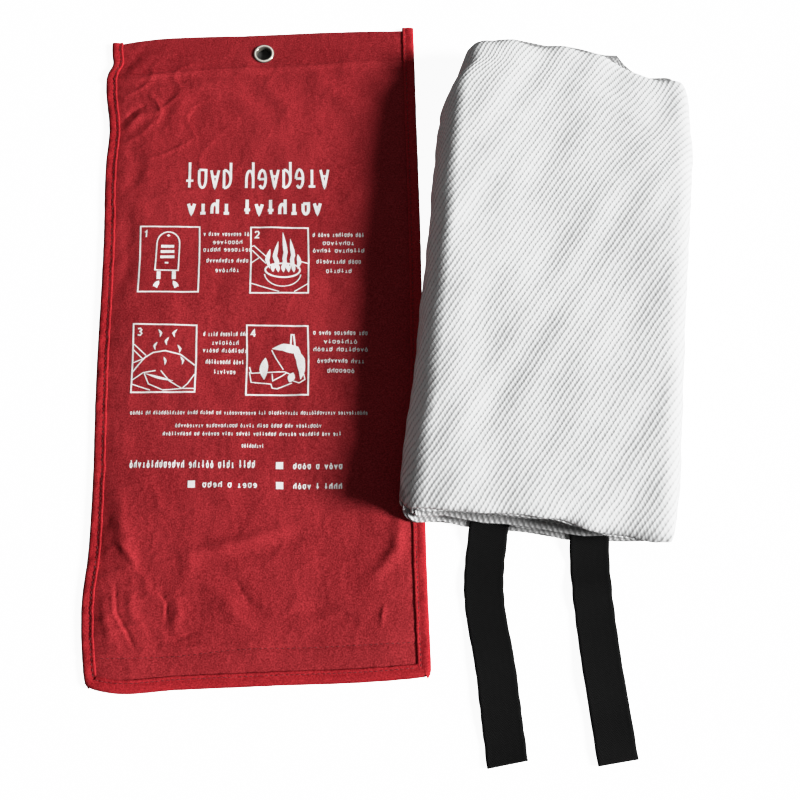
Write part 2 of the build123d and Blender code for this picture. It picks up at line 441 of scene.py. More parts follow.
def twisted_thread(name, dark, light, roughness=0.5):
    """Sewing thread with a fine diagonal twist."""
    material, tree, shader = new_material(name, light, roughness)
    place = object_coordinates(tree)
    x, y = split_axes(tree, place)
    twist = waves(tree, math_node(tree, "ADD", x, y), 0.0004)
    fuzz = noise_node(tree, place, 2500.0, 2.0)
    tone = mix_value(tree, twist, fuzz, 0.6)
    color = color_ramp(tree, tone, [(0.1, dark), (0.6, light)])
    tree.links.new(color, shader.inputs["Base Color"])
    add_bump(tree, shader, tone, 0.00008, 0.7)
    return material


def screen_ink():
    """White ink, a little broken where it sits on the weave."""
    material, tree, shader = new_material("screen_ink", (0.86, 0.85, 0.84), 0.6)
    place = object_coordinates(tree)
    grain = noise_node(tree, place, 1800.0, 3.0)
    color = color_ramp(tree, grain, [(0.25, (0.62, 0.50, 0.50)), (0.45, (0.88, 0.87, 0.86))])
    tree.links.new(color, shader.inputs["Base Color"])
    add_bump(tree, shader, grain, 0.00006, 0.6)
    return material


def pile_strip():
    """Hook and loop pile: a dense matt fuzz."""
    material, tree, shader = new_material("pile_strip", (0.22, 0.012, 0.018), 0.9, 0.2)
    place = object_coordinates(tree)
    cells = add_node(tree, "ShaderNodeTexVoronoi", Scale=1400.0)
    tree.links.new(place, cells.inputs["Vector"])
    away = cells.outputs["Distance"]
    color = color_ramp(tree, away, [(0.0, (0.30, 0.02, 0.03)), (0.8, (0.08, 0.004, 0.008))])
    tree.links.new(color, shader.inputs["Base Color"])
    add_bump(tree, shader, away, 0.0004, 0.9)
    shader.inputs["Sheen Weight"].default_value = 0.3
    return material


def pale_floor():
    """A plain pale floor that also glows, so that it shows white with hardly a shadow on it."""
    material, tree, shader = new_material("pale_floor", (0.93, 0.93, 0.93), 0.8, 0.1)
    place = object_coordinates(tree)
    grain = noise_node(tree, place, 40.0, 3.0)
    color = color_ramp(tree, grain, [(0.2, (0.92, 0.92, 0.92)), (0.8, (0.94, 0.94, 0.94))])
    tree.links.new(color, shader.inputs["Base Color"])
    shader.inputs["Emission Color"].default_value = (1, 1, 1, 1)
    shader.inputs["Emission Strength"].default_value = 1.9
    return material


def deep_shade():
    """Dark matt grey, as painted shade: the disc that makes the eyelet's hole look dark."""
    material, tree, shader = new_material("deep_shade", (0.05, 0.05, 0.05), 0.7, 0.2)
    place = object_coordinates(tree)
    grain = noise_node(tree, place, 300.0, 3.0)
    color = color_ramp(tree, grain, [(0.3, (0.035, 0.035, 0.035)), (0.7, (0.075, 0.075, 0.070))])
    tree.links.new(color, shader.inputs["Base Color"])
    return material


RIB_PITCH = 0.00318
RIB_TURN = math.radians(28.0)
RIB_SHARPNESS = 0.6
FLOAT_PITCH = 0.00205

RED_DARK = (0.228, 0.011, 0.015)
RED_LIGHT = (0.463, 0.036, 0.043)
shell_cloth = oxford_nylon("shell_nylon", RED_DARK, RED_LIGHT, 0.0008, 0.56)
tape_cloth = oxford_nylon("binding_tape", (0.30, 0.008, 0.013), (0.56, 0.032, 0.040), 0.0006, 0.50)
red_thread = twisted_thread("red_thread", (0.08, 0.003, 0.005), (0.26, 0.014, 0.018))
white_thread = twisted_thread("white_thread", (0.62, 0.61, 0.58), (0.92, 0.92, 0.90))
black_thread = twisted_thread("black_thread", (0.006, 0.006, 0.007), (0.03, 0.03, 0.034))
metal = nickel()
screen_ink_material = screen_ink()
pile = pile_strip()
cloth_weave = glass_twill()
webbing = herringbone_webbing()


# ------------------------------------------------------------- camera and light

CENTRE = Vector(
    ((cad_bounds[0].x + cad_bounds[1].x) / 2, (cad_bounds[0].y + cad_bounds[1].y) / 2, 0)
)


def add_camera():
    """Looks down from the strap end, a little tilted, as over a table."""
    data = bpy.data.cameras.new("camera")
    camera = bpy.data.objects.new("camera", data)
    bpy.context.scene.collection.objects.link(camera)
    bpy.context.scene.camera = camera
    data.sensor_width = 36.0
    data.lens = 49.62
    data.clip_start = 0.01
    data.clip_end = 20.0
    camera.location = CENTRE + Vector((-0.0024, -0.2411, 0.6984))
    aim = CENTRE + Vector((-0.0070, -0.0247, 0.0))
    turn = (aim - camera.location).to_track_quat("-Z", "Y").to_matrix().to_4x4()
    roll = math.radians(-2.98)
    spin = Vector((0, 0, 1))
    camera.rotation_mode = "QUATERNION"
    camera.rotation_quaternion = turn.to_quaternion() @ Quaternion(spin, roll)


def soften_highlights(view):
    """Presses the brightest tones together, so that sunlit white cloth keeps its ribs."""
    view.view_transform = "Standard"
    view.use_curve_mapping = True
    mapping = view.curve_mapping
    brightest = 3.2
    mapping.white_level = (brightest, brightest, brightest)
    curve = mapping.curves[3]
    tones = ((0.25, 0.25), (0.60, 0.60), (0.85, 0.80), (1.15, 0.88), (1.70, 0.93), (2.30, 0.975))
    for light, shown in tones:
        curve.points.new(light / brightest, shown)
    mapping.update()


def add_lights():
    """One low soft sun from the right, and a faint even sky."""
    data = bpy.data.lights.new("key", "SUN")
    data.energy = 6.95
    data.angle = math.radians(14)
    key = bpy.data.objects.new("key", data)
    bpy.context.scene.collection.objects.link(key)
    height, round_to_front = math.radians(25), math.radians(11)
    towards = Vector((math.cos(round_to_front), -math.sin(round_to_front), math.tan(height)))
    key.rotation_mode = "QUATERNION"
    key.rotation_quaternion = (-towards).to_track_quat("-Z", "Y")
    world = bpy.data.worlds.new("studio")
    bpy.context.scene.world = world
    world.use_nodes = True
    world.node_tree.nodes["Background"].inputs["Color"].default_value = (1, 1, 1, 1)
    world.node_tree.nodes["Background"].inputs["Strength"].default_value = 0.115
    soften_highlights(bpy.context.scene.view_settings)


def add_floor():
    """The floor, and a disc of painted shade on it under the eyelet; the floor casts no light on the object.
    """
    half = 30.0
    corners = np.array([(-half, -half, 0), (half, -half, 0), (half, half, 0), (-half, half, 0)])
    floor = mesh_object("floor", corners + [CENTRE.x, CENTRE.y, -0.0002], [(0, 1, 2, 3)], pale_floor())
    turns = np.linspace(0, 2 * math.pi, 48, endpoint=False)
    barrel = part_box("eyelet_barrel")
    middle = (barrel[0] + barrel[1]) / 2
    reach = (barrel[1].x - barrel[0].x) / 2
    ring = [(middle.x + reach * math.cos(t), middle.y + reach * math.sin(t), -0.0001) for t in turns]
    shade = mesh_object("eyelet_shade", ring, [tuple(range(len(ring)))], deep_shade())
    floor.visible_diffuse = False
    floor.visible_glossy = False


# ----------------------------------------------------------------------- pouch

CORNER_ROUND = 0.0022
PLY_INSET = 0.0012
EYELET_HOLE = 0.0062


def left_edge(y):
    """How far left the limp pouch's edge runs, along its length."""
    points = [
        (-0.230, 0.0004), (-0.205, -0.0028), (-0.178, -0.0042), (-0.148, -0.0020),
        (-0.112, -0.0014), (-0.037, -0.0029), (0.074, -0.0032), (0.132, -0.0046),
        (0.163, -0.0036), (0.180, -0.0060), (0.195, -0.0076), (0.2062, -0.0066),
        (0.2128, -0.0036), (0.222, -0.0044), (0.236, -0.0050),
    ]
    corner = 0.0024 * np.exp(-np.maximum(y + HALF_LENGTH, 0) / CORNER_ROUND)
    return -HALF_WIDTH + curve_through(points, y) + corner


def right_edge(y):
    """How far right the pouch's edge runs, along its length."""
    points = [
        (-0.230, -0.0012), (-0.184, -0.0017), (-0.132, -0.0018), (-0.060, -0.0006),
        (0.049, 0.0018), (0.160, 0.0021), (0.236, 0.0023),
    ]
    corner = 0.0022 * np.exp(-np.maximum(y + HALF_LENGTH, 0) / CORNER_ROUND)
    return HALF_WIDTH + curve_through(points, y) - corner


def top_edge(x):
    """Where the pouch's top fold runs, across it."""
    points = [(-0.113, -0.0010), (-0.088, 0.0018), (-0.003, 0.0030), (0.072, 0.0034), (0.110, 0.0028)]
    return HALF_LENGTH + curve_through(points, x)


def mouth_edge(x):
    """Where the pouch's mouth runs, across it, with its rounded corners."""
    points = [
        (-0.108, 0.0006), (-0.091, -0.0033), (-0.050, -0.0026), (0.0, -0.0019), (0.085, -0.0006),
        (0.108, 0.0010),
    ]
    corner = 0.0024 * np.exp(-np.maximum(HALF_WIDTH - 0.001 - abs(x), 0) / CORNER_ROUND)
    return -HALF_LENGTH + curve_through(points, x) + corner


def crease(x, y, route, width, height, sharp=True):
    """A raised or sunken fold along a route of points, fading at both ends."""
    route = np.array(route, float)
    steps = np.linalg.norm(np.diff(route, axis=0), axis=1)
    total = steps.sum()
    best = np.full(x.shape, 1e9)
    where = np.zeros(x.shape)
    done = 0.0
    for start, end, step in zip(route[:-1], route[1:], steps):
        direction = (end - start) / step
        along = np.clip((x - start[0]) * direction[0] + (y - start[1]) * direction[1], 0, step)
        away = np.hypot(x - start[0] - along * direction[0], y - start[1] - along * direction[1])
        nearer = away < best
        where = np.where(nearer, (done + along) / total, where)
        best = np.where(nearer, away, best)
        done += step
    fade = np.sin(np.pi * np.clip(where, 0.02, 0.98)) ** 0.6
    shape = np.exp(-best / width) if sharp else np.exp(-((best / width) ** 2))
    return height * fade * shape


eyelet_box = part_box("eyelet_barrel")
EYELET_Y = (eyelet_box[0].y + eyelet_box[1].y) / 2 - POUCH_Y
HEM_Y = 0.2045


def hem_line(x):
    """Where the doubled hem below the top fold ends."""
    return HEM_Y - 0.004 * smooth_step((-x - 0.02) / 0.09) + 0.0022 * smooth_step((x - 0.02) / 0.07)


def front_height(x, y):
    """Height of the limp front ply over the surface it lies on."""
    inset = np.minimum(x - left_edge(y), right_edge(y) - x)
    low = y - mouth_edge(x)
    high = top_edge(x) - y
    rise = 1 - np.exp(-np.maximum(inset - 0.006, 0) / 0.011)
    rise *= 1 - 0.75 * np.exp(-np.maximum(low - 0.006, 0) / 0.012)
    rise *= 1 - 0.8 * np.exp(-((np.maximum(high, 0) / 0.024) ** 3))
    z = RIM_HEIGHT + 0.0026 * rise
    z += rise * 0.0010 * ripples(x, y * 0.7, 9, 0.06, 0.16, 3)
    z += rise * 0.00035 * ripples(x, y, 14, 0.018, 0.045, 8)
    z += 0.00007 * ripples(x, y, 16, 0.004, 0.010, 5)
    crumpled = 0.25 + 0.75 * smooth_step((-0.02 - x) / 0.07) * smooth_step((abs(y) - 0.08) / 0.07)
    folds = 1 - abs(ripples(x, y, 10, 0.024, 0.060, 15)) * 1.8
    z += rise * crumpled * 0.0009 * np.maximum(folds, 0) ** 2
    folds = 1 - abs(ripples(x, y, 12, 0.010, 0.026, 17)) * 1.6
    z += rise * crumpled * 0.00030 * np.maximum(folds, 0) ** 2
    hem = hem_line(x)
    z += 0.0007 * np.exp(-(((y - hem) / 0.0016) ** 2)) * (0.7 + 0.3 * ripples(x, y, 5, 0.03, 0.07, 4))
    z -= 0.0006 * np.exp(-(((y - hem + 0.006) / 0.004) ** 2))
    creases = [
        # upper left: folds fanning out from the pinch in the side binding
        ([(-0.106, 0.205), (-0.097, 0.216), (-0.084, 0.231)], 0.0036, -0.0016, False),
        ([(-0.103, 0.201), (-0.088, 0.214), (-0.062, 0.232)], 0.0050, 0.0011, False),
        ([(-0.104, 0.199), (-0.090, 0.1985), (-0.070, 0.202)], 0.0016, 0.0011, False),
        ([(-0.104, 0.162), (-0.094, 0.1725), (-0.083, 0.178)], 0.0016, -0.0013, True),
        ([(-0.100, 0.155), (-0.089, 0.168), (-0.074, 0.171)], 0.0030, 0.0014, False),
        ([(-0.086, 0.187), (-0.078, 0.181), (-0.073, 0.170), (-0.077, 0.160)], 0.0014, 0.0012, True),
        ([(-0.098, 0.148), (-0.088, 0.130), (-0.092, 0.104)], 0.0060, -0.0012, False),
        ([(-0.040, 0.196), (-0.060, 0.178), (-0.068, 0.150)], 0.0070, 0.0011, False),
        ([(-0.024, 0.186), (0.000, 0.176), (0.018, 0.168)], 0.0050, -0.0011, False),
        ([(0.030, 0.196), (0.058, 0.176), (0.076, 0.168)], 0.0080, 0.0011, False),
        # lower left: the lip's crumpled corner
        (
            [(-0.0906, -0.166), (-0.0892, -0.1845), (-0.0834, -0.1945), (-0.076, -0.209)],
            0.0010, -0.0013, True,
        ),
        ([(-0.098, -0.172), (-0.096, -0.190), (-0.088, -0.206)], 0.0042, 0.0010, False),
        ([(-0.081, -0.170), (-0.080, -0.184), (-0.074, -0.196)], 0.0036, 0.0012, False),
        (
            [(-0.0926, -0.168), (-0.0912, -0.1845), (-0.0854, -0.1950), (-0.079, -0.207)],
            0.0012, 0.0009, True,
        ),
        ([(-0.0648, -0.174), (-0.0592, -0.1802), (-0.0596, -0.1910)], 0.0010, 0.0007, True),
        ([(-0.063, -0.172), (-0.0574, -0.1802), (-0.0579, -0.1925)], 0.0009, -0.0010, True),
        ([(-0.053, -0.176), (-0.0500, -0.186), (-0.054, -0.198)], 0.0034, 0.0010, False),
        ([(-0.058, -0.2055), (-0.0455, -0.2085), (-0.034, -0.206)], 0.0013, 0.0010, True),
        ([(-0.060, -0.197), (-0.050, -0.202), (-0.038, -0.198)], 0.0016, -0.0009, True),
        ([(-0.090, -0.140), (-0.083, -0.148), (-0.077, -0.156)], 0.0024, 0.0013, False),
        # the rest of the lip
        ([(-0.0151, -0.166), (-0.0061, -0.1818), (0.006, -0.1890)], 0.0028, -0.0013, True),
        ([(-0.024, -0.174), (-0.014, -0.189), (0.000, -0.198)], 0.0050, 0.0012, False),
        ([(-0.046, -0.168), (-0.0433, -0.1487), (-0.0125, -0.1434), (0.030, -0.131)], 0.0040, 0.0013, False),
        ([(-0.040, -0.158), (-0.010, -0.151), (0.030, -0.140)], 0.0050, -0.0010, False),
        ([(0.070, -0.170), (0.0873, -0.151), (0.0905, -0.126)], 0.0046, 0.0020, False),
        ([(0.0789, -0.184), (0.0770, -0.191), (0.0764, -0.199)], 0.0012, 0.0012, True),
        ([(0.015, -0.190), (0.042, -0.186), (0.060, -0.194)], 0.0045, -0.0010, False),
        ([(-0.0914, -0.106), (-0.0880, -0.130), (-0.0794, -0.162)], 0.0060, 0.0016, False),
        ([(-0.103, 0.020), (-0.092, 0.055), (-0.096, 0.100)], 0.0060, -0.0010, False),
    ]
    for route, width, height, sharp in creases:
        z = z + crease(x, y, route, width, height, sharp) * np.clip(rise * 1.6, 0, 1)
    pucker = np.exp(-np.maximum(inset - 0.0075, 0) / 0.006) * (inset > 0.004)
    z += 0.00045 * pucker * ripples(x * 0.25, y, 12, 0.006, 0.017, 12)
    closure = np.exp(-(((y - closure_row_y(x)) / 0.0011) ** 2))
    z -= 0.00055 * closure
    eyelet = np.exp(-((np.hypot(x, y - EYELET_Y) / 0.011) ** 4))
    z = z * (1 - eyelet) + 0.0030 * eyelet
    return np.maximum(z, 0.0016)


def closure_row_y(x):
    """Where the stitch row of the closure strip runs."""
    points = [
        (-0.108, -0.2125), (-0.050, -0.2126), (-0.014, -0.2098), (0.030, -0.2098), (0.098, -0.2085),
        (0.108, -0.2084),
    ]
    return curve_through(points, x)


def ply_grid(rows, columns):
    """Pouch coordinates of a ply's points, from the mouth up to the top fold."""
    across = np.linspace(0, 1, columns)[None, :]
    along = np.linspace(0, 1, rows)[:, None]
    middle_y = (along - 0.5) * POUCH_LENGTH
    left, right = left_edge(middle_y), right_edge(middle_y)
    x = left + PLY_INSET + (right - left - 2 * PLY_INSET) * across
    y = mouth_edge(x) + PLY_INSET + (top_edge(x) - mouth_edge(x) - PLY_INSET) * along
    return x, y


def add_front_ply():
    """The front of the pouch as one limp sheet that turns over at the top."""
    step = 0.00092
    rows, columns = int(POUCH_LENGTH / step), int(POUCH_WIDTH / step)
    x, y = ply_grid(rows, columns)
    z = front_height(x, y)
    fold_radius = (z[-1] - 0.0007) / 2
    turns = np.linspace(0, math.pi, 9)[1:]
    fold_x = np.repeat(x[-1:], len(turns), axis=0)
    fold_y = y[-1] + fold_radius * np.sin(turns)[:, None] * 0.9
    fold_z = z[-1] - fold_radius * (1 - np.cos(turns)[:, None])
    x = np.concatenate([x, fold_x])
    y = np.concatenate([y, fold_y])
    z = np.concatenate([z, fold_z])
    ply = grid_object("pouch_front", in_pouch(x, y, z), shell_cloth)
    # Painted shade: marks the doubled hem band, which the shell material paints darker.
    band = smooth_step((y - hem_line(x)) / 0.0012).ravel()
    store_vector(ply, "painted_hem_shade", np.stack([band, band, band], axis=1))
    cut_points(ply, np.hypot(x, y - EYELET_Y).ravel() < EYELET_HOLE)
    return ply


def cut_points(obj, chosen):
    """Removes the chosen points and the faces round them."""
    work = bmesh.new()
    work.from_mesh(obj.data)
    work.verts.ensure_lookup_table()
    bmesh.ops.delete(work, geom=[work.verts[i] for i in np.flatnonzero(chosen)], context="VERTS")
    work.to_mesh(obj.data)
    work.free()


def add_back_ply():
    """The back of the pouch, lying on the surface."""
    x, y = ply_grid(116, 54)
    edge = np.minimum(x - left_edge(y), right_edge(y) - x)
    z = 0.0004 + 0.0003 * np.exp(-edge / 0.006) + 0.0002 * (1 + ripples(x, y, 9, 0.03, 0.09, 21)) / 2
    ply = grid_object("pouch_back", in_pouch(x, y, z), shell_cloth)
    cut_points(ply, np.hypot(x, y - EYELET_Y).ravel() < EYELET_HOLE)
    return ply


def add_eyelet():
    """The plated eyelet: a rolled rim on a short barrel, spread flat underneath."""
    middle = (eyelet_box[0] + eyelet_box[1]) / 2
    crest = eyelet_box[1].z
    profile = [
        (0.0071, 0.0030), (0.0075, 0.0033), (0.0074, 0.0038), (0.0069, crest - 0.0001), (0.0063, crest),
        (0.0057, crest - 0.0002), (0.0052, crest - 0.0007), (0.0050, crest - 0.0014), (0.0050, 0.0010),
        (0.0052, 0.0005), (0.0058, 0.0002), (0.0068, 0.0002), (0.0074, 0.0004), (0.0074, 0.0007),
        (0.0056, 0.0008), (0.0056, 0.0028),
    ]
    # Painted light: a highlight painted on the rim's crest, and shade painted on the rest of the eyelet.
    crest_light_share = [min(max((height - crest + 0.00026) / 0.0002, 0.0), 1.0) for _, height in profile]
    turns = np.linspace(0, 2 * math.pi, 72, endpoint=False)
    points = [
        (middle.x + radius * math.cos(turn), middle.y + radius * math.sin(turn), height)
        for turn in turns
        for radius, height in profile
    ]
    count = len(profile)
    faces = []
    for step in range(len(turns)):
        for k in range(count):
            a = step * count + k
            b = step * count + (k + 1) % count
            after = (step + 1) % len(turns) * count
            faces.append((a, after + k, after + (k + 1) % count, b))
    eyelet = mesh_object("eyelet", points, faces, metal)
    painted_crest_light = np.repeat(np.tile(crest_light_share, len(turns))[:, None], 3, axis=1)
    store_vector(eyelet, "painted_crest_light", painted_crest_light)
    finish_piece(eyelet, "pouch", replaces=("eyelet_barrel", "eyelet_washer"))


TAPE_STEP = 0.0012
TAPE_SLACK = 0.0015


def tape_profile(front):
    """(inset from the outer edge, height over the ply) across one face of a binding."""
    if front:
        return [
            (0.0082, 0.0002), (0.0081, 0.0006), (0.0077, 0.0009), (0.0070, 0.0010), (0.0064, 0.0008),
            (0.0059, 0.0006), (0.0053, 0.0008), (0.0044, 0.0011), (0.0030, 0.0012), (0.0016, 0.0011),
            (0.0006, 0.0006), (0.0000, -0.0003), (-0.0002, -0.0009),
        ]
    return [
        (-0.0002, 0.0013), (0.0002, 0.0006), (0.0010, 0.0002), (0.0040, 0.0001), (0.0078, 0.0001),
        (0.0080, 0.0005),
    ]


def tape_waver(distance, seed):
    """Small uneven pull along a sewn tape."""
    flat = np.zeros_like(distance)
    short = 0.00018 * ripples(distance, flat, 10, 0.006, 0.018, seed)
    return short + 0.00014 * ripples(distance, flat, 5, 0.03, 0.08, seed + 1)


def side_tape(name, side, front, y_low, y_high):
    """One face of a side binding, from the mouth corner to just past the top edge."""
    profile = np.array(tape_profile(front))
    rows = int((y_high - y_low) / TAPE_STEP)
    share = np.linspace(0, 1, rows)[:, None]
    inset = profile[:, 0][None, :]
    low = y_low + np.maximum(inset, 0)
    y = low + (y_high - low) * share
    edge = left_edge(y) if side < 0 else right_edge(y)
    wave = tape_waver(y, 31 if side < 0 else 37)
    pull = wave * np.clip(inset / 0.004, 0.4, 1.0)
    x = edge - side * (inset + pull)
    if front:
        base = front_height(x - side * TAPE_SLACK, y)
        z = base + profile[:, 1][None, :] + 0.5 * wave * (inset < 0.006)
    else:
        z = np.broadcast_to(profile[:, 1][None, :], y.shape).copy()
    past = np.clip((y - HALF_LENGTH - 0.0005) / 0.004, 0, 1)
    z = z * (1 - 0.35 * past**2) if front else z
    return grid_object(name, in_pouch(x, y, z), tape_cloth)


def mouth_tape(name, front):
    """One face of the mouth binding, mitred into the side bindings."""
    profile = np.array(tape_profile(front))
    columns = int(POUCH_WIDTH / TAPE_STEP)
    share = np.linspace(0, 1, columns)[:, None]
    inset = profile[:, 0][None, :]
    cut = np.maximum(inset, 0)
    corner_y = -HALF_LENGTH + 0.004
    x_low = left_edge(np.array(corner_y)) + cut
    x_high = right_edge(np.array(corner_y)) - cut
    x = x_low + (x_high - x_low) * share
    wave = tape_waver(x, 43)
    y = mouth_edge(x) + inset + wave * np.clip(inset / 0.004, 0.4, 1.0)
    if front:
        z = front_height(x, y + TAPE_SLACK) + profile[:, 1][None, :] + 0.0001
    else:
        z = np.broadcast_to(profile[:, 1][None, :], x.shape).copy()
    return grid_object(name, in_pouch(x, y, z), tape_cloth)


LIP_BLEND = (
    "pouch",
    "front_lip",
    (POUCH_X, POUCH_Y + LIP_HINGE_Y + 0.010, 0.004),
    (POUCH_X, POUCH_Y + LIP_HINGE_Y - 0.010, 0.004),
)
SEAM_INSET = 0.0060


def side_seam_path(side):
    """The stitch line along a side binding."""
    y = np.arange(mouth_edge(np.array(0.0)) + 0.008, HALF_LENGTH + 0.002, 0.001)
    edge = left_edge(y) if side < 0 else right_edge(y)
    x = edge - side * SEAM_INSET
    z = front_height(x - side * TAPE_SLACK, y) + 0.00085
    return in_pouch(x, y, z)


def mouth_seam_path():
    """The stitch line along the mouth binding."""
    near_mouth = np.array(-0.22)
    x = np.arange(left_edge(near_mouth) + 0.007, right_edge(near_mouth) - 0.007, 0.001)
    y = mouth_edge(x) + SEAM_INSET
    return in_pouch(x, y, front_height(x, y + TAPE_SLACK) + 0.00095)


def closure_path():
    """The closure strip's stitch line as points on the ply."""
    x = np.arange(-HALF_WIDTH + 0.009, HALF_WIDTH - 0.009, 0.001)
    y = closure_row_y(x)
    return in_pouch(x, y, front_height(x, y) + 0.00016)


def red_stitches(name, path, pitch=0.0032, length=0.0025, radius=0.00024):
    """A row of the red thread that all the bindings are sewn with."""
    return stitch_row(name, path, pitch, length, radius, red_thread)


def closure_strip(node, body, upward, seed):
    """A strip of hook or loop pile with a sewn row along each long edge."""
    low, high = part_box(node)
    base, face = (low.z, high.z) if upward else (high.z, low.z)
    width = high.y - low.y
    half = [0, 0.0003, 0.0010, 0.0020]
    inset = np.array(half + [width / 2] + [width - step for step in reversed(half)])
    lift = np.array([0.0, 0.8, 1.0, 0.75, 1.0, 0.75, 1.0, 0.8, 0.0])
    x = np.arange(low.x, high.x, 0.002)[:, None] + 0 * inset
    y = low.y + inset[None, :] + 0.0002 * ripples(x, 0 * x, 6, 0.012, 0.050, seed)
    z = base + (face - base) * (lift[None, :] + 0.06 * ripples(x, y, 8, 0.006, 0.020, seed + 1) * (lift > 0))
    points = np.stack([x, y, z], axis=-1)
    strip = grid_object(f"{node}_pile", points, pile)
    finish_piece(strip, body, replaces=(node,))
    pieces = [strip]
    up = (0.0, 0.0, 1.0 if upward else -1.0)
    for column, word in ((3, "near"), (5, "far")):
        name = f"{node}_{word}_stitches"
        row = stitch_row(name, points[:, column], 0.0032, 0.0025, 0.00022, red_thread, up=up)
        finish_piece(row, body)
        pieces.append(row)
    return pieces


def add_pouch():
    """All the soft pieces of the pouch, each with the nodes that it stands for."""
    front = add_front_ply()
    add_eyelet()
    surface = BVHTree.FromObject(front, bpy.context.evaluated_depsgraph_get())
    back = add_back_ply()
    front_nodes = ("pouch_front_panel", "pouch_front_lip", "top_hem_facing")
    finish_piece(front, blend=LIP_BLEND, replaces=front_nodes)
    finish_piece(back, "pouch", replaces=("pouch_back_panel",))
    front_trims = [add_print(surface)] + closure_strip("loop_strip", "front_lip", False, 91)
    back_trims = closure_strip("hook_strip", "pouch", True, 95)
    foot = -HALF_LENGTH - 0.0005
    for side, word, head in ((-1, "left", HALF_LENGTH + 0.0010), (1, "right", HALF_LENGTH + 0.0062)):
        tape = side_tape(f"{word}_binding_front", side, True, foot, head)
        finish_piece(tape, blend=LIP_BLEND, replaces=(f"{word}_edge_binding",))
        under = side_tape(f"{word}_binding_back", side, False, foot, head)
        finish_piece(under, "pouch")
        seam = red_stitches(f"{word}_binding_stitches", side_seam_path(side))
        finish_piece(seam, blend=LIP_BLEND, replaces=(f"{word}_seam_thread",))
        front_trims += [tape, seam]
        back_trims.append(under)
    lip_tape = mouth_tape("mouth_binding_front", True)
    finish_piece(lip_tape, "front_lip", replaces=("lip_edge_binding",))
    under = mouth_tape("mouth_binding_back", False)
    finish_piece(under, "pouch", replaces=("back_mouth_binding",))
    seam = red_stitches("mouth_binding_stitches", mouth_seam_path())
    finish_piece(seam, "front_lip", replaces=("lip_seam_thread",))
    row = red_stitches("closure_stitches", closure_path(), 0.0034, 0.0024, 0.00022)
    finish_piece(row, "front_lip", replaces=("closure_seam_thread",))


# ----------------------------------------------------------------- glass cloth

PLY = CLOTH_HEIGHT / 54
GROUP = 6 * PLY
MIDDLE = CLOTH_HEIGHT / 2
PANEL_LEVELS = (0, 1, -1, 2, -2, 3, -3, 4, -4)
PLY_ORDER = (0, 3, 4, 5, 2, 1)
HALF_SPAN = CLOTH_LENGTH / 2
LEFT_BEND = -CLOTH_WIDTH / 2 + 4.5 * GROUP
RIGHT_BEND = CLOTH_WIDTH / 2 - 4 * GROUP
TOP_PANEL_Z = 0.0285
FINE_ACROSS = 0.0012
FINE_ALONG = 0.0018


def across_curve():
    """The strip of six plies wound flat into nine panels, seen from its end.

    Gives for each sample its middle (x, z), its outward normal, its distance along the
    strip, how fine the sampling is (1 where the cloth is seen closely), and its panel.
    """
    x, z, turn, fine, panel = [], [], [], [], []
    for number, level in enumerate(PANEL_LEVELS):
        leftward = number % 2 == 1
        seen = level == 4
        span = RIGHT_BEND - LEFT_BEND
        count = int(span / (FINE_ACROSS if seen else 0.011))
        share = np.linspace(0, 1, count)
        run = RIGHT_BEND - span * share if leftward else LEFT_BEND + span * share
        x.append(run)
        z.append(np.full(count, MIDDLE + level * GROUP))
        turn.append(np.full(count, math.pi / 2 if leftward else -math.pi / 2))
        fine.append(np.full(count, 1.0 if seen else 0.0))
        panel.append(np.full(count, float(number)))
        if number == len(PANEL_LEVELS) - 1:
            break
        after = PANEL_LEVELS[number + 1]
        radius = abs(after - level) / 2 * GROUP
        height = MIDDLE + (after + level) / 2 * GROUP
        outer = abs(after) == 4
        count = int(math.pi * radius / FINE_ACROSS) if outer else 10
        angles = np.linspace(0, math.pi, count + 2)[1:-1]
        start = math.pi / 2 if leftward else -math.pi / 2
        angle = start + angles
        middle = LEFT_BEND if leftward else RIGHT_BEND
        x.append(middle + radius * np.cos(angle))
        z.append(height + radius * np.sin(angle))
        turn.append(angle)
        fine.append(np.full(count, 1.0 if outer else 0.0))
        panel.append(number + smooth_step(angles / math.pi))
    x, z, turn, fine, panel = map(np.concatenate, (x, z, turn, fine, panel))
    distance = np.concatenate([[0], np.cumsum(np.hypot(np.diff(x), np.diff(z)))])
    return x, z, np.cos(turn), np.sin(turn), distance, fine, panel


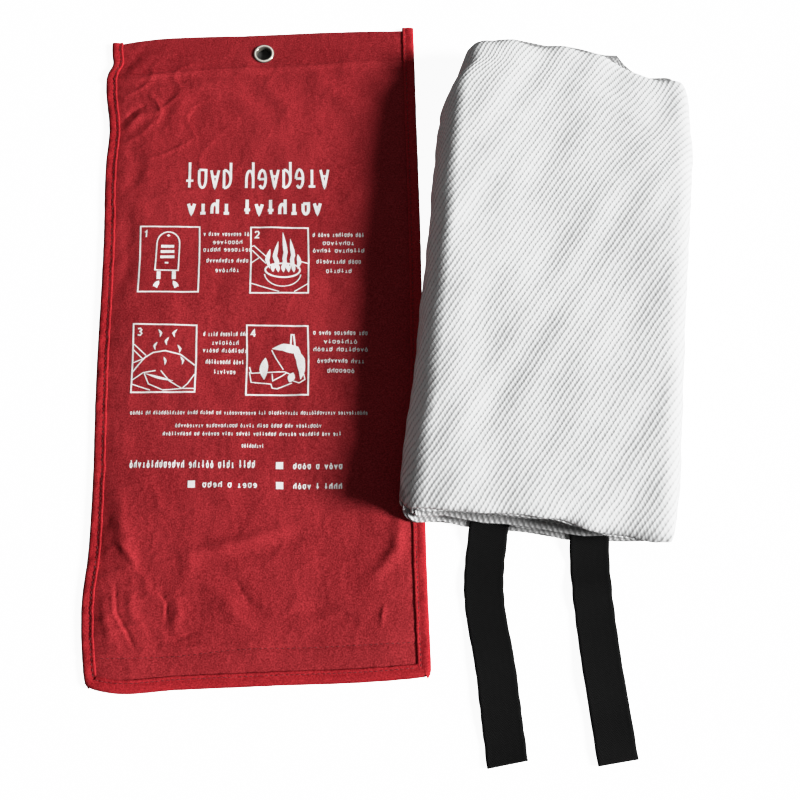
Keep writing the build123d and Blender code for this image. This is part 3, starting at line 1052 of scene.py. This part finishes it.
def along_curve():
    """The six plies seen from the side: offset through the strip, position, distance, fineness.

    The cloth's two cut ends start and finish it as narrow turned-in hems.
    """
    level, y, fine = [], [], []

    def add(levels, positions, fineness):
        level.append(np.asarray(levels, float))
        y.append(np.asarray(positions, float))
        fine.append(np.full(len(positions), float(fineness)))

    end = -HALF_SPAN - 0.0004
    add([-0.36, -0.36, -0.34, -0.18, 0.0], [end + 0.011, end + 0.004, end + 0.0004, end, end + 0.0005], 0)
    for number, ply in enumerate(PLY_ORDER):
        upward = number % 2 == 0
        before = abs(ply - PLY_ORDER[number - 1]) / 2 * PLY if number else 0.002
        after = abs(ply - PLY_ORDER[number + 1]) / 2 * PLY if number < 5 else 0.002
        low, high = (before, after) if upward else (after, before)
        step = FINE_ALONG if ply == 5 else 0.016
        share = np.linspace(0, 1, int(CLOTH_LENGTH / step))
        run = -HALF_SPAN + low + (CLOTH_LENGTH - low - high) * share
        add(np.full(len(run), ply), run if upward else run[::-1], ply == 5)
        if number == 5:
            break
        following = PLY_ORDER[number + 1]
        radius = abs(following - ply) / 2
        angles = np.linspace(0, math.pi, 9)[1:-1]
        side = 1 if upward else -1
        middle = side * (HALF_SPAN - radius * PLY)
        bend_level = (ply + following) / 2 - np.sign(following - ply) * radius * np.cos(angles)
        add(bend_level, middle + side * radius * PLY * np.sin(angles), 5 in (ply, following))
    end = -HALF_SPAN + 0.0014
    add([1.0, 0.82, 0.66, 0.64, 0.64], [end + 0.0005, end, end + 0.0004, end + 0.004, end + 0.011], 0)
    level, y, fine = map(np.concatenate, (level, y, fine))
    offset = (level - 2.5) * PLY
    distance = np.concatenate([[0], np.cumsum(np.hypot(np.diff(offset), np.diff(y)))])
    return offset, y, distance, fine


# How far each panel is drawn back from the strap end, in the order they are wound
PANEL_SETBACK = (0.0030, 0.0002, 0.0046, 0.0036, -0.0002, 0.0040, 0.0050, 0.0, 0.0002)


def far_edge(x, z):
    """Where the bundle ends away from the straps: a slipped corner and a poking ply."""
    top = curve_through(
        [
            (-0.0880, 0.1400), (-0.0845, 0.1490), (-0.0815, 0.1585), (-0.0765, 0.1655), (-0.0690, 0.1695),
            (-0.0600, 0.1708), (-0.0385, 0.1728), (-0.0221, 0.1700), (-0.0067, 0.1727), (0.0096, 0.1694),
            (0.0252, 0.1660), (0.0358, 0.1608), (0.0443, 0.1566), (0.0586, 0.1526), (0.0770, 0.1522),
            (0.0836, 0.1490), (0.0880, 0.1400),
        ],
        x,
    )
    poke = 0.0105 * smooth_step((x - 0.012) / 0.022) * smooth_step((0.0405 - x) / 0.0035)
    under = top - 0.0035 + poke
    return under + (top - under) * smooth_step((z - TOP_PANEL_Z) / 0.0020)


def near_edge(x, z):
    """Where the bundle ends beside the straps: the lowest plies reach furthest."""
    top = curve_through(
        [
            (-0.0880, -0.1610), (-0.0850, -0.1668), (-0.0800, -0.1690), (-0.0590, -0.1687),
            (0.0019, -0.1677), (0.0190, -0.1684), (0.0338, -0.1712), (0.0647, -0.1728),
            (0.0799, -0.1736), (0.0880, -0.1706),
        ],
        x,
    )
    low = curve_through(
        [
            (-0.0880, -0.1620), (-0.0830, -0.1690), (-0.0585, -0.1711), (0.0056, -0.1727), (0.0330, -0.1736),
            (0.0500, -0.1716), (0.0681, -0.1696), (0.0840, -0.1670), (0.0880, -0.1650),
        ],
        x,
    )
    middle = low + 0.0026
    inner = np.maximum(top, middle) + 0.0016
    edge = low + (middle - low) * smooth_step((z - 0.0042) / 0.0040)
    edge = edge + (inner - middle) * smooth_step((z - 0.0130) / 0.0040)
    return edge + (top - inner) * smooth_step((z - TOP_PANEL_Z) / 0.0020)


def pouch_rise(x, y):
    """How high the pouch stands where the bundle's underside crosses it."""
    world_x, world_y = cloth_place(x, y)
    pouch_x = world_x - POUCH_X
    pouch_y = world_y - POUCH_Y
    inset = right_edge(pouch_y) - pouch_x
    height = front_height(np.minimum(pouch_x, right_edge(pouch_y) - 0.004), pouch_y) + 0.0019
    return height * smooth_step((inset + 0.014) / 0.014)


def strap_room(x, y):
    """Where the straps leave the bundle: 1 over each strap, fading to 0 beside it."""
    total = 0.0
    for middle in STRAP_EXITS:
        total = total + smooth_step((0.0205 - abs(x - middle)) / 0.007)
    return total * smooth_step((-0.128 - y) / 0.012)


def squared_shoulder(x, z):
    """Fills the round upper right bends of the bundle out towards a square shoulder."""
    power = 3.4
    out = np.maximum(x - RIGHT_BEND, 0)
    up = np.maximum(z - MIDDLE, 0)
    reach = np.hypot(out, up) + 1e-9
    stretch = reach / (out**power + up**power + 1e-30) ** (1 / power)
    near = (out > 0) & (up > 0)
    stretch = np.where(near, stretch, 1.0)
    return np.where(near, RIGHT_BEND + out * stretch, x), np.where(near, MIDDLE + up * stretch, z)


def settle(x, y, z):
    """Turns the neat bundle into the slumped one, as one smooth change of space."""
    left_shift = curve_through(
        [
            (-0.175, -0.0006), (-0.069, 0.0004), (-0.006, -0.0002), (0.047, -0.0013), (0.089, -0.0018),
            (0.123, -0.0017), (0.138, -0.0006), (0.1450, 0.0022), (0.1485, 0.0046), (0.165, 0.0060),
            (0.175, 0.0075),
        ],
        y,
    )
    right_shift = curve_through(
        [
            (-0.175, 0.0004), (-0.161, 0.0012), (-0.131, 0.0013), (-0.009, 0.0011), (0.065, 0.0019),
            (0.120, 0.0008), (0.150, -0.0010), (0.175, -0.0030),
        ],
        y,
    )
    depth = z / CLOTH_HEIGHT
    x, z = squared_shoulder(x, z)
    new_x = x + left_shift * smooth_step((-x - 0.030) / 0.045)
    new_x = new_x + right_shift * smooth_step((x - 0.030) / 0.045)
    new_y = y + (far_edge(x, z) - HALF_SPAN) * smooth_step((y - 0.030) / (HALF_SPAN - 0.030)) ** 1.3
    new_y = new_y + (near_edge(x, z) + HALF_SPAN) * smooth_step((-y - 0.060) / (HALF_SPAN - 0.060))
    new_x = new_x + 0.0007 * ripples(y, z * 3, 8, 0.020, 0.090, 61) * abs(x / 0.086) ** 3
    new_y = new_y + 0.0009 * ripples(x, z * 4, 8, 0.012, 0.070, 62) * abs(y / HALF_SPAN) ** 6
    top = 0.0011 * ripples(x, y, 10, 0.060, 0.170, 63) + 0.0004 * ripples(x, y, 12, 0.020, 0.045, 64)
    top = top - 0.0014 * smooth_step((y - 0.125) / 0.050) - 0.0014 * smooth_step((-x - 0.045) / 0.040) ** 2
    top = top - 0.0012 * np.exp(-(((x + 0.055) / 0.020) ** 2) - (((y - 0.030) / 0.060) ** 2))
    top = top - 0.0080 * np.exp(-np.maximum(HALF_SPAN - y, 0) / 0.0034)
    top = top + 0.0037 * smooth_step((y + 0.085) / 0.110) * smooth_step(-x / 0.060)
    rolled = 0.0030 + 0.0060 * smooth_step((x - 0.010) / 0.035)
    top = top - rolled * np.exp(-np.maximum(HALF_SPAN + y, 0) / 0.0055)
    new_z = z + top * depth**1.5
    rise = pouch_rise(new_x, new_y)
    new_z = new_z + rise * np.clip(1 - depth, 0, 1) ** 1.4
    room = strap_room(x, y)
    opened = np.where(z < GROUP, -0.20 * z, 0.0007 * np.exp(-(z - GROUP) / 0.012))
    new_z = new_z + opened * room
    return new_x, new_y, np.maximum(new_z, 0.0002)


def rib_height(weave_x, weave_y):
    """The slanting ribs of the twill, about -0.6 to 0.4."""
    across = weave_x * math.cos(RIB_TURN) - weave_y * math.sin(RIB_TURN)
    return (0.5 + 0.5 * np.sin(2 * math.pi * across / RIB_PITCH)) ** RIB_SHARPNESS - 0.6


def painted_shade(x, y, z):
    """Darkening painted on the cloth, which stays whatever the light.

    It lies on the near end, deepest in the gaps, as a line along the far edge, on the
    right side and on the near left corner.
    """
    below_top = smooth_step((TOP_PANEL_Z + 0.0005 - z) / 0.0015)
    fold = smooth_step((-HALF_SPAN + 0.0035 - y) / 0.004)
    gap = 2.9 * smooth_step((-HALF_SPAN + 0.0110 - y) / 0.006)
    gap = gap - 1.3 * smooth_step((-HALF_SPAN + 0.0014 - y) / 0.0018)
    end = fold + (gap - fold) * below_top
    far = 3.2 * np.exp(-np.maximum(HALF_SPAN - y, 0) / 0.0011)
    side = 0.75 * smooth_step((x - RIGHT_BEND - 0.006) / 0.009)
    corner = 0.9 * smooth_step((-x - 0.045) / 0.030) * smooth_step((-0.120 - y) / 0.050)
    return np.maximum(np.maximum(end, far), np.maximum(side, corner))


def add_folded_cloth():
    """One sheet, folded into six plies along and wound into nine panels across."""
    middle_x, middle_z, normal_x, normal_z, v, fine_v, panel = across_curve()
    offset, y, u, fine_u = along_curve()
    setback = np.interp(panel, range(len(PANEL_SETBACK)), PANEL_SETBACK)
    weave_x = v[:, None] + 0.00030 * ripples(v[:, None], u[None, :], 12, 0.014, 0.070, 51)
    weave_y = u[None, :] + 0.00030 * ripples(v[:, None], u[None, :], 12, 0.014, 0.070, 52)
    seen = fine_v[:, None] * fine_u[None, :]
    across = offset[None, :] + 0.00008 * seen * rib_height(weave_x, weave_y)
    x = middle_x[:, None] + across * normal_x[:, None]
    z = middle_z[:, None] + across * normal_z[:, None]
    along = y[None, :] + setback[:, None]
    shade = painted_shade(x, along, z)
    x, along, z = settle(x, along, z)
    cloth = grid_object("folded_cloth", in_cloth(x, along, z), cloth_weave)
    weave = np.stack([weave_x, weave_y, np.zeros_like(weave_x)], axis=-1)
    store_vector(cloth, "weave", weave.reshape(-1, 3))
    store_vector(cloth, "painted_shade", np.stack([shade, shade, shade], axis=-1).reshape(-1, 3))
    finish_piece(cloth, "blanket", replaces=("blanket_cloth",))


def add_hem_stitches():
    """White stitch rows across two of the lower panels, close to the strap end."""
    pieces = []
    for level, setback in ((-2, -0.0002), (-4, 0.0002)):
        x = np.arange(LEFT_BEND + 0.002, RIGHT_BEND, 0.0015)
        y = np.full_like(x, -HALF_SPAN + setback + 0.0052)
        z = np.full_like(x, MIDDLE + level * GROUP + (2.5 + 0.36) * PLY + 0.00012)
        x, y, z = settle(x, y, z)
        pieces.append(in_cloth(x, y, z))
    for number, path in enumerate(pieces):
        name = f"hem_stitches_{number + 1}"
        row = stitch_row(name, path, 0.0034, 0.0028, 0.00028, white_thread, slant=0.25)
        nodes = ("blanket_hem_thread",) if number == 0 else ()
        finish_piece(row, "blanket", replaces=nodes)


# ---------------------------------------------------------------------- straps

STRAP_WIDTH = 0.025
STRAP_THICKNESS = 0.0011
STRAP_STEP = 0.0014

# Middle lines of the straps in pouch coordinates, (y, x) from the cut end to under the cloth
LEFT_STRAP_LINE = (
    (-0.282, 0.1501), (-0.250, 0.1475), (-0.2228, 0.1455), (-0.208, 0.1436), (-0.191, 0.1415),
    (-0.173, 0.1412), (-0.160, 0.1426), (-0.1484, 0.1444), (-0.1369, 0.1463), (-0.118, 0.1490),
)
RIGHT_STRAP_LINE = (
    (-0.2828, 0.2163), (-0.250, 0.2134), (-0.2103, 0.2100), (-0.1857, 0.2089), (-0.1751, 0.2086),
    (-0.160, 0.2088), (-0.1476, 0.2092), (-0.128, 0.2096),
)
# Where each strap leaves the bundle, (x, y) in pouch coordinates
LEFT_STRAP_EXIT = (0.1468, -0.1340)
RIGHT_STRAP_EXIT = (0.2093, -0.1430)


def cloth_coordinates(x, y):
    """The folded cloth's coordinates of a point given in the pouch's."""
    across = x + POUCH_X - CLOTH_X
    along = y + POUCH_Y - CLOTH_Y
    cos, sin = math.cos(CLOTH_TURN), math.sin(CLOTH_TURN)
    return across * cos + along * sin, -across * sin + along * cos


STRAP_EXITS = [cloth_coordinates(*place)[0] for place in (LEFT_STRAP_EXIT, RIGHT_STRAP_EXIT)]


def strap_height(y, exit_y, seed):
    """Height of a strap's middle: out over the lowest hem, down, then almost flat."""
    beyond = exit_y - y
    inside = 0.00385
    flat = STRAP_THICKNESS / 2 + 0.0002
    drop = smooth_step((beyond - 0.001) / 0.022)
    wave = 0.0007 * (1 + ripples(y, np.zeros_like(y), 6, 0.030, 0.090, seed))
    wave = wave * smooth_step((beyond - 0.020) / 0.020)
    return inside + (flat - inside) * drop + wave


def add_strap(side, line, exit_y, seed):
    """A flat length of black webbing, from under the cloth to its cut end."""
    low, high = line[0][0], line[-1][0]
    y = np.linspace(high, low, int((high - low) / STRAP_STEP))
    x = curve_through(line, y) + 0.00022 * ripples(y, np.zeros_like(y), 8, 0.006, 0.020, seed + 1)
    z = strap_height(y, exit_y, seed)
    slope = np.gradient(x, y)
    along = np.stack([-slope, -np.ones_like(slope)], axis=1)
    along /= np.linalg.norm(along, axis=1)[:, None]
    side_x, side_y = -along[:, 1], along[:, 0]
    half, thick = STRAP_WIDTH / 2, STRAP_THICKNESS / 2
    top = [(s, thick * (1.15 if 0.80 < abs(s) < 0.97 else 1.0)) for s in np.linspace(-0.96, 0.96, 17)]
    ring = [(-1.0, 0.0)] + top + [(1.0, 0.0)] + [(s, -t) for s, t in reversed(top)]
    ring = np.array(ring)
    offset = ring[:, 0] * half
    lay = -0.00025 * (1 - (ring[:, 0]) ** 2)
    px = x[:, None] + side_x[:, None] * offset
    py = y[:, None] + side_y[:, None] * offset
    tilt = 0.0006 * ripples(y, np.zeros_like(y), 5, 0.040, 0.120, seed + 2)[:, None] * ring[:, 0]
    tilt = tilt * smooth_step((exit_y - y - 0.006) / 0.020)[:, None]
    pz = z[:, None] + ring[:, 1] + tilt + lay + 0.0003
    points = in_pouch(px, py, np.maximum(pz, 0.0002))
    rows, columns = points.shape[:2]
    faces = []
    for row in range(rows - 1):
        for column in range(columns):
            a = row * columns + column
            b = row * columns + (column + 1) % columns
            faces.append((a, b, b + columns, a + columns))
    faces.append(tuple(reversed(range(columns))))
    faces.append(tuple((rows - 1) * columns + column for column in range(columns)))
    strap = mesh_object(f"{side}_strap", points.reshape(-1, 3), faces, webbing)
    distance = np.concatenate([[0], np.cumsum(np.hypot(np.diff(x), np.diff(y)))])
    weave = np.stack(np.broadcast_arrays(offset[None, :], distance[:, None], 0.0), axis=-1)
    store_vector(strap, "weave", weave.reshape(-1, 3))
    nodes = (f"{side}_strap_anchor", f"{side}_pull_strap")
    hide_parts(*nodes)
    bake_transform(strap)
    for number, place in enumerate((0.004, 0.009, 0.014)):
        index = int(place / STRAP_STEP)
        span = np.linspace(-0.010, 0.010, 21)
        thread_x = x[index] + side_x[index] * span
        thread_y = y[index] + side_y[index] * span
        path = in_pouch(thread_x, thread_y, z[index] + thick + 0.0003)
        name = f"{side}_strap_stitches_{number + 1}"
        row = stitch_row(name, path, 0.0026, 0.0021, 0.0002, black_thread)
        nodes = (f"{side}_strap_stitching",) if number == 0 else ()
        finish_piece(row, "blanket", replaces=nodes)


# ----------------------------------------------------------------------- print

PRINT_SLOPE = -0.037
PRINT_LIFT = 0.00013
PRINT_STEP = 0.001
LINE = 0.00085
FRAME_LINE = 0.00115
SIZE_BOX = 0.0048


class InkSheet:
    """Collects flat ink shapes and lays them on the front of the pouch."""

    def __init__(self, surface):
        self.surface = surface
        self.points = []
        self.faces = []

    def drop(self, x, y):
        """The point of the ply under a print coordinate."""
        world = Vector((x + POUCH_X, y + PRINT_SLOPE * x + POUCH_Y, 0.05))
        hit = self.surface.ray_cast(world, Vector((0, 0, -1)))[0]
        return (hit.x, hit.y, hit.z + PRINT_LIFT)

    def add_strip(self, rows):
        """Quads between successive rows of equally many (x, y) points."""
        first = len(self.points)
        width = len(rows[0])
        for row in rows:
            self.points.extend(self.drop(x, y) for x, y in row)
        for i in range(len(rows) - 1):
            for j in range(width - 1):
                a = first + i * width + j
                self.faces.append((a, a + 1, a + width + 1, a + width))

    def block(self, low_x, high_x, low_y, high_y):
        """A filled rectangle."""
        across = np.linspace(low_x, high_x, max(2, int((high_x - low_x) / PRINT_STEP) + 1))
        along = np.linspace(low_y, high_y, max(2, int((high_y - low_y) / PRINT_STEP) + 1))
        self.add_strip([[(x, y) for x in across] for y in along])

    def stroke(self, route, width, leaf=False, closed=False):
        """A line of ink along a route; a leaf narrows to a point at both ends."""
        route = [np.array(point, float) for point in route]
        if closed:
            route.append(route[0])
        path = []
        for start, end in zip(route[:-1], route[1:]):
            count = max(1, int(np.linalg.norm(end - start) / PRINT_STEP))
            path.extend(start + (end - start) * k / count for k in range(count))
        path.append(route[-1])
        path = np.array(path)
        ahead = np.roll(path, -1, axis=0) - path
        behind = path - np.roll(path, 1, axis=0)
        if closed:
            ahead[-1] = path[1] - path[0]
            behind[0] = path[0] - path[-2]
        else:
            ahead[-1] = behind[-1]
            behind[0] = ahead[0]
        ahead /= np.linalg.norm(ahead, axis=1)[:, None] + 1e-12
        behind /= np.linalg.norm(behind, axis=1)[:, None] + 1e-12
        tangent = ahead + behind
        tangent /= np.linalg.norm(tangent, axis=1)[:, None] + 1e-12
        stretch = 1 / np.clip(np.sum(tangent * ahead, axis=1), 0.6, 1)
        side = np.stack([-tangent[:, 1], tangent[:, 0]], axis=1) * stretch[:, None]
        share = np.linspace(0, 1, len(path))
        half = np.full(len(path), width / 2)
        if leaf:
            half = half * np.maximum(np.sin(np.pi * share), 0.06) ** 0.8
        parts = max(2, int(width / PRINT_STEP) + 2)
        rows = []
        for point, across, reach in zip(path, side, half):
            rows.append([tuple(point + across * reach * k) for k in np.linspace(-1, 1, parts)])
        self.add_strip(rows)


def in_frame(corner, size, points):
    """Print coordinates of points given as shares of a picture frame."""
    return [(corner[0] + size[0] * u, corner[1] + size[1] * v) for u, v in points]


def arc(middle_u, middle_v, radius_u, radius_v, start, end, count=12):
    """Points along part of an ellipse, in turns."""
    turns = np.linspace(start, end, count) * 2 * math.pi
    return [(middle_u + radius_u * math.cos(t), middle_v + radius_v * math.sin(t)) for t in turns]


# Letter-like signs that spell nothing, as strokes in a box one wide and one high
SIGNS = (
    [[(0.9, 0.0), (0.9, 1.0)], arc(0.5, 0.33, 0.4, 0.35, 0.0, 0.5) + [(0.1, 0.0)]],
    [arc(0.5, 0.35, 0.42, 0.35, 0.62, 1.5), [(0.08, 0.35), (0.9, 0.35)]],
    [[(0.5, 0.0), (0.5, 0.7)], [(0.1, 0.04), (0.9, 0.04)]],
    [[(0.45, 0.0), (0.45, 1.0)], [(0.05, 0.28), (0.9, 0.28)]],
    [[(0.1, 0.7)] + arc(0.5, 0.33, 0.4, 0.33, 0.5, 1.0) + [(0.9, 0.7), (0.1, 0.7)]],
    [arc(0.5, 0.31, 0.4, 0.31, 0.0, 1.0, 20), [(0.5, 0.62), (0.5, 0.98)]],
    [[(0.05, 0.7), (0.5, 0.0), (0.95, 0.7)], [(0.25, 0.44), (0.75, 0.44)]],
    [[(0.1, 0.0), (0.1, 0.7)], arc(0.1, 0.35, 0.8, 0.35, -0.25, 0.25), [(0.9, 0.35), (0.9, 1.0)]],
)


class Picture:
    """Draws in shares of one picture frame."""

    def __init__(self, ink, corner, size):
        self.ink = ink
        self.corner = corner
        self.size = size

    def line(self, points, width=LINE, closed=False):
        self.ink.stroke(in_frame(self.corner, self.size, points), width, closed=closed)

    def leaf(self, points, width):
        self.ink.stroke(in_frame(self.corner, self.size, points), width, leaf=True)


def sign_line(ink, low_x, high_x, base_y, height, weight, seed, words):
    """A line of letter-like signs in word-like groups, standing in for wording."""
    random = np.random.default_rng(seed)
    pitch = (high_x - low_x) / (sum(words) + 0.8 * (len(words) - 1))
    size = (pitch - weight * 1.5, height - weight)
    x = low_x + weight / 2
    for word in words:
        for _ in range(word):
            for route in SIGNS[random.integers(len(SIGNS))]:
                ink.stroke(in_frame((x, base_y + weight / 2), size, route), weight)
            x += pitch
        x += pitch * 0.8


def draw_pouch_picture(picture):
    """Step one: the hanging pouch with its two straps in reach."""
    outline = [(0.27, 0.33), (0.29, 0.74)] + arc(0.48, 0.74, 0.19, 0.17, 0.5, 0.0)[1:] + [(0.66, 0.32)]
    picture.line(outline, LINE * 1.2, closed=True)
    picture.leaf([(0.45, 0.855), (0.51, 0.855)], 0.0021)
    for level, half in ((0.69, 0.11), (0.61, 0.115), (0.53, 0.12)):
        picture.line([(0.47 - half, level), (0.47 + half, level)], 0.0021)
    picture.line([(0.43, 0.44), (0.49, 0.44)], 0.0013)
    for middle in (0.335, 0.590):
        lean = 0.04 if middle > 0.5 else -0.04
        picture.line([(middle, 0.31), (middle, 0.19)], 0.0028)
        foot = [(middle - lean * 0.3, 0.165), (middle + lean, 0.10), (middle + lean * 0.4, 0.055)]
        picture.leaf(foot, 0.0034)
        picture.leaf([(middle + lean, 0.13), (middle + lean * 2.1, 0.075)], 0.0014)


def draw_flame_picture(picture):
    """Step two: a pan alight on the hob."""
    picture.line(arc(0.56, 0.34, 0.30, 0.105, 0.0, 1.0, 26)[:-1], LINE * 1.5, closed=True)
    picture.line(arc(0.56, 0.30, 0.315, 0.20, 0.52, 0.98, 18))
    picture.line([(0.00, 0.69), (0.06, 0.71), (0.33, 0.50)])
    picture.line([(0.03, 0.64), (0.27, 0.44)])
    picture.line([(0.00, 0.44), (0.16, 0.53)])
    picture.line([(1.00, 0.44), (0.87, 0.47)])
    picture.line([(0.00, 0.145), (0.50, 0.02)])
    picture.line([(1.00, 0.14), (0.76, 0.02)])
    tongues = (
        (0.34, 0.66, -0.05), (0.42, 0.60, 0.04), (0.48, 0.78, -0.06), (0.56, 0.92, 0.05),
        (0.62, 0.70, -0.03), (0.69, 0.82, 0.05), (0.76, 0.66, -0.04), (0.82, 0.58, 0.03),
    )
    for u, top, lean in tongues:
        picture.leaf([(u, 0.36), (u + lean, 0.36 + (top - 0.36) * 0.45), (u, top)], 0.0030)
    for u in (0.38, 0.47, 0.56, 0.65, 0.74):
        picture.leaf([(u, 0.44), (u + 0.015, 0.31)], 0.0028)


def draw_cover_picture(picture):
    """Step three: the cloth laid over the pan, heat dying away."""
    hump = [(0.00, 0.28), (0.20, 0.50), (0.33, 0.575), (0.52, 0.60), (0.76, 0.55), (0.99, 0.39)]
    picture.line(hump, LINE * 1.2)
    picture.line([(0.02, 0.70), (0.22, 0.53)])
    picture.line([(0.00, 0.63), (0.17, 0.48), (0.00, 0.42)])
    picture.line([(0.00, 0.17), (0.18, 0.28), (0.38, 0.31)])
    picture.line([(0.20, 0.27), (0.27, 0.12), (0.50, 0.03), (0.80, 0.05)])
    picture.leaf([(0.21, 0.27), (0.42, 0.21), (0.66, 0.16)], 0.0018)
    picture.line([(0.46, 0.31), (0.60, 0.16), (0.80, 0.05)])
    picture.line([(0.00, 0.12), (0.30, 0.03)])
    picture.line([(0.99, 0.26), (0.89, 0.12), (0.80, 0.05), (0.99, 0.05)])
    marks = (
        (0.43, 0.86, 0.03), (0.66, 0.86, -0.04), (0.54, 0.74, -0.03), (0.36, 0.67, -0.03),
        (0.74, 0.63, 0.03), (0.52, 0.45, 0.02), (0.79, 0.46, 0.03),
    )
    for u, v, lean in marks:
        picture.leaf([(u - lean, v + 0.06), (u + lean * 0.5, v), (u, v - 0.06)], 0.0017)


def draw_tap_picture(picture):
    """Step four: a hand turning the burner off."""
    picture.line([(0.72, 0.70), (0.73, 0.86), (0.77, 0.86), (0.79, 0.68)], 0.0012)
    picture.leaf([(0.42, 0.66), (0.60, 0.68), (0.80, 0.64), (0.90, 0.50)], 0.0060)
    picture.leaf([(0.76, 0.68), (0.88, 0.50), (0.90, 0.34), (0.88, 0.22)], 0.0058)
    picture.line([(0.41, 0.64), (0.48, 0.52), (0.60, 0.36)])
    picture.line([(0.05, 0.40), (0.08, 0.31), (0.36, 0.32), (0.62, 0.33), (0.70, 0.30)])
    picture.line([(0.05, 0.33), (0.08, 0.18), (0.40, 0.155), (0.42, 0.10), (0.50, 0.09), (0.74, 0.17)])
    picture.line([(0.42, 0.30), (0.43, 0.20), (0.58, 0.27), (0.66, 0.32)])
    picture.leaf([(0.29, 0.22), (0.28, 0.36), (0.31, 0.53)], 0.0058)
    picture.leaf([(0.70, 0.18), (0.76, 0.32)], 0.0050)
    picture.line([(0.92, 0.34), (0.95, 0.22), (0.86, 0.17), (0.76, 0.20)])


def draw_numeral(ink, number, x, y, height):
    """A figure from 1 to 4, drawn with plain strokes."""
    shapes = {
        1: [[(0.1, 0.72), (0.5, 1.0), (0.42, 0.0)]],
        2: [[(0.0, 0.78), (0.2, 0.98), (0.7, 0.98), (0.9, 0.75), (0.7, 0.45), (0.0, 0.0), (0.95, 0.02)]],
        3: [
            [(0.05, 0.95), (0.6, 1.0), (0.9, 0.78), (0.65, 0.55), (0.35, 0.52)],
            [(0.65, 0.55), (0.95, 0.28), (0.6, 0.0), (0.0, 0.08)],
        ],
        4: [[(0.7, 0.0), (0.7, 1.0), (0.0, 0.30), (1.0, 0.30)]],
    }
    width = height * 0.6
    for shape in shapes[number]:
        ink.stroke([(x + u * width, y + v * height) for u, v in shape], 0.00105)


def add_print(surface):
    """The white print: rows of signs for wording, four framed steps, and size boxes."""
    ink = InkSheet(surface)
    sign_line(ink, -0.0550, 0.0485, 0.1060, 0.0218, 0.0019, 1, (4, 7))
    sign_line(ink, -0.0530, 0.0432, 0.0856, 0.0135, 0.0023, 2, (4, 7))
    frames = (
        ((-0.0845, 0.0282), (0.0412, 0.0490), draw_pouch_picture),
        ((-0.0077, 0.0273), (0.0396, 0.0493), draw_flame_picture),
        ((-0.0862, -0.0437), (0.0426, 0.0482), draw_cover_picture),
        ((-0.0097, -0.0454), (0.0412, 0.0494), draw_tap_picture),
    )
    for number, (corner, size, draw) in enumerate(frames, 1):
        picture = Picture(ink, corner, size)
        border = [(0, 0), (0.01, 0.5), (0, 1), (1, 0.985), (1.01, 0.5), (1, 0)]
        picture.line(border, FRAME_LINE, closed=True)
        draw(picture)
        draw_numeral(ink, number, corner[0] + 0.0030, corner[1] + size[1] - 0.0082, 0.0050)
    beside = (
        (-0.0405, 0.0695, 0.034), (0.0350, 0.0690, 0.036),
        (-0.0390, -0.0040, 0.030), (0.0350, -0.0030, 0.037),
    )
    lines = (
        (0.0, 1.0, (1, 4, 7, 3)), (0.0062, 0.62, (8,)), (0.0118, 1.0, (5, 8)),
        (0.0200, 0.86, (9, 4)), (0.0270, 0.5, (7,)),
    )
    for block, (x, y, width) in enumerate(beside):
        for row, (down, share, words) in enumerate(lines):
            inset = width * (1 - share) / 2
            low, high = x + inset, x + width - inset
            sign_line(ink, low, high, y - down, 0.0036, 0.00055, 10 + block * 5 + row, words)
    below = (
        (-0.0862, 0.0708, -0.0592, 0.0031, 0.00045, (5, 2, 12, 4, 5, 2, 12, 3, 11, 13, 11)),
        (-0.0560, 0.0405, -0.0680, 0.0031, 0.00045, (10, 11, 5, 4, 4, 3, 9)),
        (-0.0640, 0.0535, -0.0736, 0.0031, 0.00055, (10, 2, 6, 4, 5, 8, 6, 7, 3, 3)),
        (-0.0120, 0.0027, -0.0817, 0.0031, 0.00045, (9,)),
        (-0.0850, -0.0025, -0.0955, 0.0058, 0.00085, (13, 6, 4, 4)),
        (0.0214, 0.0542, -0.0958, 0.0046, 0.00085, (4, 1, 4)),
        (-0.0370, -0.0010, -0.1085, 0.0046, 0.00085, (4, 1, 4)),
        (0.0214, 0.0538, -0.1090, 0.0046, 0.00085, (4, 1, 4)),
    )
    for seed, (low, high, base, height, weight, words) in enumerate(below, 40):
        sign_line(ink, low, high, base, height, weight, seed, words)
    for x, y in ((0.0104, -0.0958), (-0.0464, -0.1085), (0.0105, -0.1090)):
        ink.block(x, x + SIZE_BOX, y, y + SIZE_BOX)
    sheet = mesh_object("pouch_print", ink.points, ink.faces, screen_ink_material)
    finish_piece(sheet, "pouch", replaces=("instruction_print",))
    return sheet


add_camera()
add_lights()
add_floor()
add_pouch()
add_folded_cloth()
add_hem_stitches()
add_strap("left", LEFT_STRAP_LINE, LEFT_STRAP_EXIT[1], 71)
add_strap("right", RIGHT_STRAP_LINE, RIGHT_STRAP_EXIT[1], 81)
